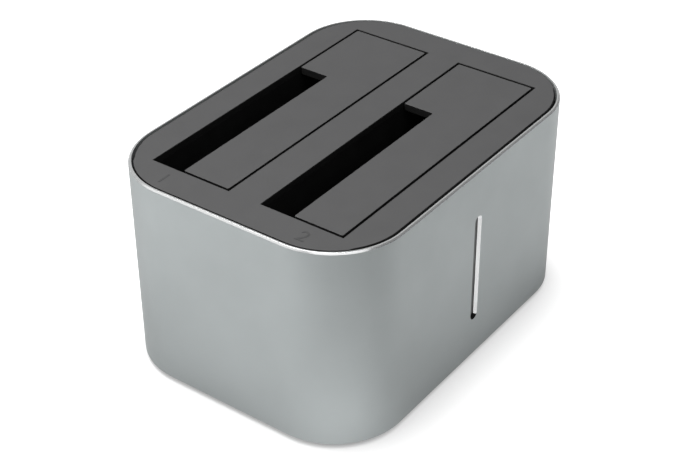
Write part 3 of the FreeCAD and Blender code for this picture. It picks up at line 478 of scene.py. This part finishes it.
# ---------------------------------------------------------------- sleeve
class DUPLICATOR_OT_sleeve(bpy.types.Operator):
    """Make the blasted aluminium sleeve with its bright cut rim and light slot"""
    bl_idname = "duplicator.sleeve"
    bl_label = "Sleeve"

    rim_depth = 1.5 * MM
    slot_reach = 2 * MM
    inner_reach = 20 * MM
    # Slot faces that look up more steeply than this get painted shade instead of the painted
    # highlight.
    bright_below = 0.35

    def execute(self, context):
        settings = context.scene.duplicator_sleeve
        bm = copied("outer_shell")
        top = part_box("outer_shell")[1].z
        bar_low, bar_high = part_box("light_bar")
        cut, painted_slot_highlight, shade, inside = 1, 2, 3, 4
        for face in bm.faces:
            middle = face.calc_center_median()
            if middle.z > top - self.rim_depth and abs(face.normal.z) > SQUARE:
                face.material_index = cut
            # In the light slot, sideways bevel faces get the painted highlight; inner walls and
            # upward-facing bevel faces get painted shade.
            elif self.in_slot(middle, bar_low, bar_high) and abs(face.normal.y) < ALONG:
                bright = abs(face.normal.y) > SQUARE and face.normal.z < self.bright_below
                face.material_index = painted_slot_highlight if bright else shade
            elif face.normal.xy.dot(middle.xy) < -self.inner_reach:
                face.material_index = inside
        self.narrow_rim(bm, top, settings.rim_chamfer)
        mouth = [v for v in top_verts(bm) if not any(is_slope(f) for f in v.link_faces)]
        spread(mouth, -settings.mouth)
        soften(bm, settings.edge_round)
        finishes = [anodised(settings), cut_aluminium(settings), slot_bevel(), slot_shade(),
                    sleeve_inside()]
        piece(bm, "sleeve", finishes, "housing", ["outer_shell"])
        return {"FINISHED"}

    def in_slot(self, point, bar_low, bar_high):
        """Whether a point on the front wall lies in the light slot or on its bevel."""
        reach = self.slot_reach
        beside = bar_low.x - reach < point.x < bar_high.x + reach
        return beside and point.y < 0 and bar_low.z - reach < point.z < bar_high.z + reach

    def narrow_rim(self, bm, top, width):
        """Draws both edges of the rim's chamfer towards the corner that it cuts off."""
        outward = {}
        for face in bm.faces:
            if is_slope(face) and face.calc_center_median().z > top - self.rim_depth:
                for vert in face.verts:
                    so_far = outward.get(vert, Vector((0, 0)))
                    outward[vert] = so_far + face.normal.xy.normalized()
        lowest = min(v.co.z for v in outward)
        step = top - lowest - width
        for vert, way in outward.items():
            if vert.co.z > top - MERGE_DISTANCE:
                vert.co.xy += way.normalized() * step
            else:
                vert.co.z += step


class DUPLICATOR_OT_light(bpy.types.Operator):
    """Make the smoked light guide and dress the lamps behind it"""
    bl_idname = "duplicator.light"
    bl_label = "Light guide"

    def execute(self, context):
        bm = copied("light_bar")
        soften(bm, 0.08 * MM)
        piece(bm, "light_guide", [smoked_plastic()], "housing", ["light_bar"])
        dress(plain("led_white", (0.8, 0.8, 0.75), 0.4), "leds")
        return {"FINISHED"}


# ---------------------------------------------------------------- cover and flaps
def cover_finish(settings):
    return satin_moulding("cover_plastic", settings.colour, settings.roughness)


def edge_finish(settings):
    """Near-black painted shade for the mouldings' sides and undersides below the top, made once.
    """
    made = bpy.data.materials.get("cover_edge")
    return made or black_moulding("cover_edge", settings.edge_colour, 0.7)


def measured_openings():
    """Lowest and highest corner of each bay's opening, read from the top panel's inner walls."""
    low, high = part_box("top_panel")
    rim = 8 * MM
    points = [v.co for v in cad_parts["top_panel"].data.vertices
              if abs(v.co.z - high.z) < MERGE_DISTANCE and abs(v.co.x) < high.x - rim]
    found = {}
    for bay in BAYS:
        flap_low, flap_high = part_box(f"flap_{bay}")
        behind = flap_low.y + flap_high.y > 0
        own = [p for p in points if (p.y > 0) == behind]
        found[bay] = (Vector((min(p.x for p in own), min(p.y for p in own), low.z)),
                      Vector((max(p.x for p in own), max(p.y for p in own), high.z)))
    return found


OPENINGS = measured_openings()


class DUPLICATOR_OT_cover(bpy.types.Operator):
    """Make the top panel with rounded bay corners and plain bay numerals"""
    bl_idname = "duplicator.cover"
    bl_label = "Cover"

    corner_segments = 4
    corner_reach = 0.05 * MM
    font_scale = 1.4
    numeral_shift = 0.4 * MM

    def execute(self, context):
        settings = context.scene.duplicator_cover
        finish = cover_finish(settings)
        ink = plain("numeral_ink", Vector(settings.colour) * settings.numeral_shade, 0.5)
        bm = copied("top_panel")
        raise_top(bm, settings.rise)
        places = []
        for bay in BAYS:
            low, high = OPENINGS[bay]
            places += [(x, y) for x in (low.x, high.x) for y in (low.y, high.y)]
        spread([v for v in top_verts(bm) if self.beyond(v.co, places)], settings.lip)
        corners = upright_edges(bm, places, self.corner_reach)
        round_edges(bm, corners, settings.bay_corner, self.corner_segments)
        soften(bm, settings.edge_round)
        blacken_below(bm, settings.skin)
        piece(bm, "cover", [finish, edge_finish(settings)], "housing",
              ["top_panel"])
        for bay in BAYS:
            self.numeral(bay, settings, ink)
        return {"FINISHED"}

    def beyond(self, point, places):
        """Whether a point lies outside the box round both bay openings."""
        for axis in (0, 1):
            spots = [place[axis] for place in places]
            if not min(spots) - MM < point[axis] < max(spots) + MM:
                return True
        return False

    def numeral(self, bay, settings, ink):
        """A plain numeral in low relief between the sleeve and the end of its bay."""
        curve = bpy.data.curves.new(f"numeral_{bay}", "FONT")
        curve.body = str(bay)
        curve.size = settings.numeral_height * self.font_scale
        curve.align_x = "CENTER"
        curve.align_y = "CENTER"
        curve.extrude = settings.numeral_relief
        text = bpy.data.objects.new("numeral_outline", curve)
        bpy.context.scene.collection.objects.link(text)
        bpy.context.view_layer.update()
        mesh = bpy.data.meshes.new_from_object(text)
        bpy.data.objects.remove(text)
        bm = bmesh.new()
        bm.from_mesh(mesh)
        bmesh.ops.remove_doubles(bm, verts=bm.verts[:], dist=MERGE_DISTANCE)
        low, high = OPENINGS[bay]
        panel_low, panel_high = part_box("top_panel")
        centre = Vector(((low.x + panel_low.x) / 2 + self.numeral_shift, (low.y + high.y) / 2,
                         panel_high.z + settings.rise))
        quarter_turn = Matrix.Rotation(-math.pi / 2, 3, "Z")
        bmesh.ops.rotate(bm, cent=(0, 0, 0), matrix=quarter_turn, verts=bm.verts[:])
        bmesh.ops.translate(bm, vec=centre, verts=bm.verts[:])
        piece(bm, f"bay_numeral_{bay}", [ink], "housing")


class DUPLICATOR_OT_flaps(bpy.types.Operator):
    """Make the sprung bay flaps with their pins and springs"""
    bl_idname = "duplicator.flaps"
    bl_label = "Flaps"

    corner_segments = 3
    corner_reach = 0.01 * MM
    wire_radius = 0.25 * MM
    wire_sides = 8
    steps_per_turn = 24

    def execute(self, context):
        settings = context.scene.duplicator_cover
        inside = context.scene.duplicator_inside
        finish = cover_finish(settings)
        wire = steel("spring_steel", (0.09, 0.09, 0.095), 0.4)
        for bay in BAYS:
            bm = copied(f"flap_{bay}")
            places = {(round(v.co.x, 6), round(v.co.y, 6)) for v in top_verts(bm)}
            raise_top(bm, settings.rise)
            corners = upright_edges(bm, places, self.corner_reach)
            round_edges(bm, corners, settings.flap_corner, self.corner_segments)
            soften(bm, settings.edge_round)
            blacken_below(bm, settings.skin)
            piece(bm, f"bay_flap_{bay}_cover", [finish, edge_finish(settings)],
                  f"bay_flap_{bay}", [f"flap_{bay}"])
            self.spring(bay, inside.spring_turns, wire)
        dress(steel("pin_steel", (0.5, 0.5, 0.5), 0.25, (1, 40, 40)), "hinge_pin_1", "hinge_pin_2")
        return {"FINISHED"}

    def spring(self, bay, turns, wire):
        """Round wire wound round the pin, with a straight leg that reaches under the flap."""
        low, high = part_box(f"flap_spring_{bay}")
        pin_low, pin_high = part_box(f"hinge_pin_{bay}")
        pin = (pin_low + pin_high) / 2
        radius = self.wire_radius
        start = Vector((low.x + radius, pin.y, high.z - radius))
        bm = bmesh.new()
        leg = bmesh.ops.extrude_face_region(bm, geom=[self.wire_end(bm, start)])
        end = [v for v in leg["geom"] if isinstance(v, bmesh.types.BMVert)]
        bmesh.ops.translate(bm, vec=(0, high.y - pin.y, 0), verts=end)
        face = self.wire_end(bm, start)
        steps = self.steps_per_turn * turns
        advance = (high.x - low.x - 2 * radius) / steps
        bmesh.ops.spin(bm, geom=[*face.verts, *face.edges, face], cent=pin, axis=X_AXIS,
                       dvec=(advance, 0, 0), angle=2 * math.pi * turns, steps=steps,
                       use_merge=False, use_duplicate=False)
        bmesh.ops.recalc_face_normals(bm, faces=bm.faces[:])
        piece(bm, f"spring_{bay}", [wire], f"bay_flap_{bay}",
              [f"flap_spring_{bay}"], 60.0)

    def wire_end(self, bm, place):
        """Round end face of the wire, across y."""
        across = Matrix.Translation(place) @ Matrix.Rotation(math.pi / 2, 4, "X")
        made = bmesh.ops.create_circle(bm, cap_ends=True, segments=self.wire_sides,
                                       radius=self.wire_radius, matrix=across)
        return made["verts"][0].link_faces[0]


class DUPLICATOR_OT_wells(bpy.types.Operator):
    """Make the drive wells and dress the sockets in them"""
    bl_idname = "duplicator.wells"
    bl_label = "Wells"

    def execute(self, context):
        settings = context.scene.duplicator_inside
        moulding = black_moulding("well_plastic", settings.colour)
        socket = black_moulding("socket_plastic", (0.012, 0.012, 0.012), 0.4)
        for bay in BAYS:
            bm = copied(f"drive_well_{bay}")
            soften(bm, 0.15 * MM)
            piece(bm, f"well_{bay}", [moulding], "housing", [f"drive_well_{bay}"])
            bm = copied(f"sata_socket_{bay}")
            soften(bm, 0.1 * MM)
            piece(bm, f"drive_socket_{bay}", [socket], "housing",
                  [f"sata_socket_{bay}"])
        gold = plain("contact_gold", (0.75, 0.55, 0.2), 0.25, 1.0)
        dress(gold, "sata_contacts_1", "sata_contacts_2")
        dress(steel("screw_steel", (0.05, 0.05, 0.05), 0.4), "well_screws", "board_screws")
        return {"FINISHED"}


# ---------------------------------------------------------------- back and underside
class DUPLICATOR_OT_rear(bpy.types.Operator):
    """Make the rear panel, its ports and its two buttons"""
    bl_idname = "duplicator.rear"
    bl_label = "Rear panel"

    dish_rings = 6
    sign_root, sign_height = 0.03 * MM, 0.06 * MM

    # Sizes of the signs as shares of a cap's radius.
    line_width = 0.08
    ring_radius, ring_gap = 0.3, math.radians(70)
    bar_foot, bar_head = Vector((0, 0.14)), Vector((0, 0.38))
    square_half, square_shift = 0.2, 0.16

    def execute(self, context):
        settings = context.scene.duplicator_back
        moulding = black_moulding("rear_plastic", settings.colour, 0.5)
        bm = copied("rear_panel")
        soften(bm, settings.edge_round)
        piece(bm, "rear_cover", [moulding], "housing", ["rear_panel"])
        socket = black_moulding("port_plastic", (0.012, 0.012, 0.012), 0.35)
        nickel = steel("connector_steel", (0.62, 0.61, 0.58), 0.22)
        bm = copied("dc_jack")
        soften(bm, 0.2 * MM)
        piece(bm, "power_inlet", [socket], "housing", ["dc_jack"])
        dress(nickel, "dc_jack_pin", "usb_c_shell", "crystal")
        dress(socket, "usb_c_tongue", "power_switch", "clone_switch", "led_header")
        button = black_moulding("button_plastic", (0.022, 0.022, 0.023), 0.38)
        mark = plain("button_mark", (0.45, 0.45, 0.45), 0.5)
        for name, body, sign in (("power_button", "power_key", self.power_sign),
                                 ("clone_button", "clone_key", self.copy_sign)):
            self.button(name, body, settings.dish, button)
            low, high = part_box(name)
            centre = (low + high) / 2
            floor = high.y - settings.dish
            bm = bmesh.new()
            sign(bm, Vector((centre.x, centre.z)), (high.x - low.x) / 2,
                 floor - self.sign_root, floor + self.sign_height)
            bmesh.ops.recalc_face_normals(bm, faces=bm.faces[:])
            piece(bm, f"{name}_sign", [mark], body)
        return {"FINISHED"}

    def power_sign(self, bm, centre, size, back, front):
        """Open ring with an upright bar in its gap."""
        width = self.line_width * size
        arc(bm, centre, self.ring_radius * size, self.ring_gap, width, back, front)
        stroke(bm, centre + self.bar_foot * size, centre + self.bar_head * size, width,
               back, front)

    def copy_sign(self, bm, centre, size, back, front):
        """Square outline with a second one that shows from behind it."""
        width = self.line_width * size
        half, shift = self.square_half * size, self.square_shift * size / 2
        low, high = -half - shift, half - shift
        near = [(low, low), (high, low), (high, high), (low, high), (low, low)]
        cut = high + width
        low, high = -half + shift, half + shift
        behind = [(low, cut), (low, high), (high, high), (high, low), (cut, low)]
        for outline in (near, behind):
            corners = [centre + Vector(corner) for corner in outline]
            for start, end in zip(corners, corners[1:]):
                stroke(bm, start, end, width, back, front)

    def button(self, name, body, dish, finish):
        """A round cap with a hollow face, on the construction cap's stem and lip."""
        bm = copied(name)
        face = max(bm.faces, key=lambda f: f.calc_center_median().y)
        radius = max((v.co - face.calc_center_median()).length for v in face.verts)
        rings = self.dish_rings
        depths = [dish * math.cos(math.pi * (1 - ring / rings) / 2) for ring in range(rings + 1)]
        for before, after in zip(depths, depths[1:]):
            bmesh.ops.inset_region(bm, faces=[face], thickness=radius / (rings + 2),
                                   use_even_offset=True)
            bmesh.ops.translate(bm, vec=(0, before - after, 0), verts=face.verts[:])
        soften(bm, 0.12 * MM)
        piece(bm, f"{name}_cap", [finish], body, [name])


class DUPLICATOR_OT_underside(bpy.types.Operator):
    """Make the base plate, its rubber feet and its screws"""
    bl_idname = "duplicator.underside"
    bl_label = "Underside"

    screw_segments = 32
    foot_hollow = 0.3 * MM
    foot_round_steps = 6

    # Shares of a screw head's radius, of the recess's reach, and of a foot's radius.
    recess_reach, recess_half = 0.6, 0.16
    recess_sink = 0.6
    hollow_inner, hollow_outer = 0.62, 0.7

    def execute(self, context):
        settings = context.scene.duplicator_back
        bm = copied("base_plate")
        soften(bm, settings.edge_round)
        moulding = black_moulding("base_plastic", settings.colour, 0.6)
        piece(bm, "base_cover", [moulding], "housing", ["base_plate"])
        self.feet(settings)
        self.screws(settings)
        return {"FINISHED"}

    def screws(self, settings):
        """Round-headed screws with a cross recess, on the construction screws' places."""
        edge, bulge = settings.screw_round, 0.3 * settings.screw_round
        bm = bmesh.new()
        for points in islands("base_screws"):
            centre = middle_of(points)
            low, high = min(p.z for p in points), max(p.z for p in points)
            head = max((p.xy - centre.xy).length for p in points)
            shank = max((p.xy - centre.xy).length for p in points if high - p.z < MERGE_DISTANCE)
            neck = max(p.z for p in points if (p.xy - centre.xy).length > (head + shank) / 2)
            profile = [(head - edge, low), (head - bulge, low + bulge), (head, low + edge),
                       (head, neck), (shank, neck), (shank, high), (0.0, high)]
            outline = [Vector((centre.x + r, centre.y, z)) for r, z in profile]
            part = bmesh.new()
            spun(part, outline, centre, Z_AXIS, self.screw_segments)
            self.recess(part, Vector((centre.x, centre.y, low)), head * self.recess_reach,
                        head * self.recess_half)
            bmesh.ops.recalc_face_normals(part, faces=part.faces[:])
            join(bm, part)
        finish = steel("base_screw_steel", (0.06, 0.06, 0.06), 0.35)
        piece(bm, "base_screw_set", [finish], "housing", ["base_screws"], 40.0)

    def recess(self, part, centre, reach, half):
        """Fills the open end of a screw's head round a cross that is sunk into it."""
        arm = [(half, half), (half, reach), (-half, reach)]
        corners = [Matrix.Rotation(math.radians(90 * quarter), 2) @ Vector(p)
                   for quarter in range(4) for p in arm]
        verts = [part.verts.new(centre + Vector((p.x, p.y, 0))) for p in corners]
        cross = [part.edges.new(pair) for pair in zip(verts, verts[1:] + verts[:1])]
        rim = [e for e in part.edges if e.is_boundary and e not in cross]
        bmesh.ops.triangle_fill(part, use_beauty=True, edges=rim + cross, normal=(0, 0, -1))
        walls = bmesh.ops.extrude_edge_only(part, edges=cross)["geom"]
        ends = [v for v in walls if isinstance(v, bmesh.types.BMVert)]
        floor = [e for e in walls if isinstance(e, bmesh.types.BMEdge)]
        bmesh.ops.translate(part, vec=(0, 0, reach * self.recess_sink), verts=ends)
        bmesh.ops.contextual_create(part, geom=floor)

    def feet(self, settings):
        """Four turned rubber feet with a rounded edge and a shallow hollow below."""
        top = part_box("rubber_feet")[1].z
        bm = bmesh.new()
        for points in islands("rubber_feet"):
            centre = middle_of(points)
            centre.z = 0.0
            self.foot(bm, centre, max(p.x for p in points) - centre.x, top, settings.foot_round)
        bmesh.ops.recalc_face_normals(bm, faces=bm.faces[:])
        piece(bm, "feet", [rubber()], "housing", ["rubber_feet"], 50.0)

    def foot(self, bm, centre, radius, top, edge):
        """One foot on the floor, turned from its profile."""
        profile = [(0.0, self.foot_hollow), (radius * self.hollow_inner, self.foot_hollow),
                   (radius * self.hollow_outer, 0.0), (radius - edge, 0.0)]
        for step in range(1, self.foot_round_steps + 1):
            angle = math.radians(90 / self.foot_round_steps * step)
            profile.append((radius - edge + edge * math.sin(angle), edge - edge * math.cos(angle)))
        profile += [(radius, top), (0.0, top)]
        part = bmesh.new()
        spun(part, [centre + Vector((r, 0, z)) for r, z in profile], centre, Z_AXIS)
        join(bm, part)


class DUPLICATOR_OT_boards(bpy.types.Operator):
    """Dress the boards and the parts on them"""
    bl_idname = "duplicator.boards"
    bl_label = "Boards"

    def execute(self, context):
        settings = context.scene.duplicator_inside
        dress(solder_mask(settings.board_colour), "main_board", "led_board")
        dress(plain("chip_black", (0.02, 0.02, 0.02), 0.45), "bridge_chip")
        dress(plain("lead_tin", (0.6, 0.6, 0.58), 0.35, 1.0), "bridge_chip_leads")
        dress(plain("capacitor_can", (0.6, 0.6, 0.6), 0.3, 1.0), "capacitors")
        dress(plain("ferrite", (0.08, 0.08, 0.085), 0.6), "inductors")
        dress(plain("ceramic", (0.35, 0.25, 0.16), 0.5), "chip_passives")
        return {"FINISHED"}


# ---------------------------------------------------------------- stage
class DUPLICATOR_OT_stage(bpy.types.Operator):
    """Set the camera, the pale floor, the surround and the lamps"""
    bl_idname = "duplicator.stage"
    bl_label = "Stage"

    def execute(self, context):
        settings = context.scene.duplicator_stage
        context.scene.view_settings.view_transform = "Standard"
        self.camera(context, settings)
        self.floor(settings)
        self.surround(context, settings)
        for name, place, size, power in LAMPS:
            self.lamp(name, place, size, getattr(settings, power))
        return {"FINISHED"}

    def camera(self, context, settings):
        cam = bpy.data.cameras.new("camera")
        cam.lens = settings.lens
        cam.sensor_width = SENSOR_WIDTH
        cam.sensor_fit = "HORIZONTAL"
        cam.clip_start = 0.01
        cam.clip_end = 50.0
        rig = bpy.data.objects.new("camera", cam)
        context.scene.collection.objects.link(rig)
        level = math.cos(settings.elevation)
        back = Vector((math.sin(settings.azimuth) * level, -math.cos(settings.azimuth) * level,
                       math.sin(settings.elevation)))
        turn = (-back).to_track_quat("-Z", "Y").to_matrix().to_4x4()
        roll = Matrix.Rotation(settings.roll, 4, "Z")
        place = Vector(settings.target) + back * settings.distance
        rig.matrix_world = Matrix.Translation(place) @ turn @ roll
        context.scene.camera = rig

    def floor(self, settings):
        """A wide pale floor that reads white and keeps the object's soft shadow, with a painted
        contact shadow where ambient occlusion dims its glow near the base.
        """
        bm = bmesh.new()
        bmesh.ops.create_grid(bm, x_segments=1, y_segments=1, size=FLOOR_REACH)
        mesh = bpy.data.meshes.new("floor")
        bm.to_mesh(mesh)
        bm.free()
        mesh.transform(Matrix.Translation((0, 0, -FLOOR_DROP)))
        floor = bpy.data.objects.new("floor", mesh)
        bpy.context.scene.collection.objects.link(floor)
        made = bpy.data.materials.new("pale_floor")
        made.use_nodes = True
        nodes, links = made.node_tree.nodes, made.node_tree.links
        nodes.clear()

        def result_of(operation, first, second, third=None):
            step = nodes.new("ShaderNodeMath")
            step.operation = operation
            for socket, value in zip(step.inputs, (first, second, third)):
                if isinstance(value, (int, float)):
                    socket.default_value = value
                elif value:
                    links.new(value, socket)
            return step.outputs["Value"]

        place = nodes.new("ShaderNodeTexCoord").outputs["Object"]
        glow = settings.floor_glow
        for x, y, radius, strength in FLOOR_POOLS:
            away = nodes.new("ShaderNodeVectorMath")
            away.operation = "DISTANCE"
            away.inputs[1].default_value = (x * MM, y * MM, 0.0)
            links.new(place, away.inputs[0])
            pool = nodes.new("ShaderNodeMapRange")
            pool.interpolation_type = "SMOOTHSTEP"
            pool.inputs["From Max"].default_value = radius * MM
            pool.inputs["To Min"].default_value = strength
            pool.inputs["To Max"].default_value = 0.0
            links.new(away.outputs["Value"], pool.inputs["Value"])
            glow = result_of("ADD", pool.outputs["Result"], glow)
        ray = nodes.new("ShaderNodeLightPath")
        mirrored = result_of("MULTIPLY", ray.outputs["Is Glossy Ray"], glow)
        matt = nodes.new("ShaderNodeBsdfDiffuse")
        matt.inputs["Color"].default_value = (0.6, 0.6, 0.6, 1.0)
        seen = nodes.new("ShaderNodeEmission")
        # Painted shadow: ambient occlusion dims the floor's glow for camera and transmission rays
        # near the object.
        near = nodes.new("ShaderNodeAmbientOcclusion")
        near.inputs["Distance"].default_value = settings.shadow_reach
        white = result_of("MULTIPLY_ADD", near.outputs["AO"], settings.floor_white,
                          settings.floor_low)
        direct = result_of("ADD", ray.outputs["Is Camera Ray"], ray.outputs["Is Transmission Ray"])
        strength = result_of("MULTIPLY_ADD", direct, white, mirrored)
        links.new(strength, seen.inputs["Strength"])
        total = nodes.new("ShaderNodeAddShader")
        out = nodes.new("ShaderNodeOutputMaterial")
        links.new(matt.outputs["BSDF"], total.inputs[0])
        links.new(seen.outputs["Emission"], total.inputs[1])
        links.new(total.outputs["Shader"], out.inputs["Surface"])
        mesh.materials.append(made)

    def surround(self, context, settings):
        """White behind the object, and a soft surround that fades from back to front."""
        world = bpy.data.worlds.new("studio")
        context.scene.world = world
        world.use_nodes = True
        nodes, links = world.node_tree.nodes, world.node_tree.links
        nodes.clear()
        place = nodes.new("ShaderNodeTexCoord")
        split = nodes.new("ShaderNodeSeparateXYZ")
        links.new(place.outputs["Generated"], split.inputs["Vector"])
        fade = nodes.new("ShaderNodeMapRange")
        fade.inputs["From Min"].default_value = -1.0
        fade.inputs["From Max"].default_value = 1.0
        fade.inputs["To Min"].default_value = 0.0
        fade.inputs["To Max"].default_value = settings.back_light
        links.new(split.outputs["Y"], fade.inputs["Value"])
        soft = nodes.new("ShaderNodeBackground")
        soft.inputs["Color"].default_value = WHITE
        links.new(fade.outputs["Result"], soft.inputs["Strength"])
        white = nodes.new("ShaderNodeBackground")
        white.inputs["Color"].default_value = WHITE
        ray = nodes.new("ShaderNodeLightPath")
        direct = nodes.new("ShaderNodeMath")
        direct.operation = "ADD"
        links.new(ray.outputs["Is Camera Ray"], direct.inputs[0])
        links.new(ray.outputs["Is Transmission Ray"], direct.inputs[1])
        choice = nodes.new("ShaderNodeMixShader")
        out = nodes.new("ShaderNodeOutputWorld")
        links.new(direct.outputs["Value"], choice.inputs["Fac"])
        links.new(soft.outputs["Background"], choice.inputs[1])
        links.new(white.outputs["Background"], choice.inputs[2])
        links.new(choice.outputs["Shader"], out.inputs["Surface"])

    def lamp(self, name, place, size, power):
        """A square softbox that faces the object."""
        light = bpy.data.lights.new(name, "AREA")
        light.shape = "SQUARE"
        light.size = size
        light.energy = power
        rig = bpy.data.objects.new(name, light)
        bpy.context.scene.collection.objects.link(rig)
        aim = (LAMP_AIM - Vector(place)).to_track_quat("-Z", "Y").to_matrix().to_4x4()
        rig.matrix_world = Matrix.Translation(place) @ aim


# ---------------------------------------------------------------- add-on
SETTINGS = {"duplicator_sleeve": SleeveSettings, "duplicator_cover": CoverSettings,
            "duplicator_inside": InsideSettings, "duplicator_back": BackSettings,
            "duplicator_stage": StageSettings}
STEPS = (DUPLICATOR_OT_sleeve, DUPLICATOR_OT_light, DUPLICATOR_OT_cover, DUPLICATOR_OT_flaps,
         DUPLICATOR_OT_wells, DUPLICATOR_OT_rear, DUPLICATOR_OT_underside, DUPLICATOR_OT_boards,
         DUPLICATOR_OT_stage)


class DUPLICATOR_PT_panel(bpy.types.Panel):
    """Lists the pieces and their settings"""
    bl_label = "Drive Duplicator"
    bl_idname = "DUPLICATOR_PT_panel"
    bl_space_type = "VIEW_3D"
    bl_region_type = "UI"
    bl_category = "Duplicator"

    def draw(self, context):
        for step in STEPS:
            self.layout.operator(step.bl_idname)
        for key, group in SETTINGS.items():
            box = self.layout.box()
            for name in group.__annotations__:
                box.prop(getattr(context.scene, key), name)


def register():
    for cls in (*SETTINGS.values(), *STEPS, DUPLICATOR_PT_panel):
        bpy.utils.register_class(cls)
    for key, group in SETTINGS.items():
        setattr(bpy.types.Scene, key, bpy.props.PointerProperty(type=group))


def unregister():
    for key in SETTINGS:
        delattr(bpy.types.Scene, key)
    for cls in reversed((*SETTINGS.values(), *STEPS, DUPLICATOR_PT_panel)):
        bpy.utils.unregister_class(cls)


def main():
    """Dresses the whole object."""
    register()
    for step in STEPS:
        group, name = step.bl_idname.split(".")
        getattr(getattr(bpy.ops, group), name)()


if __name__ == "__main__":
    main()
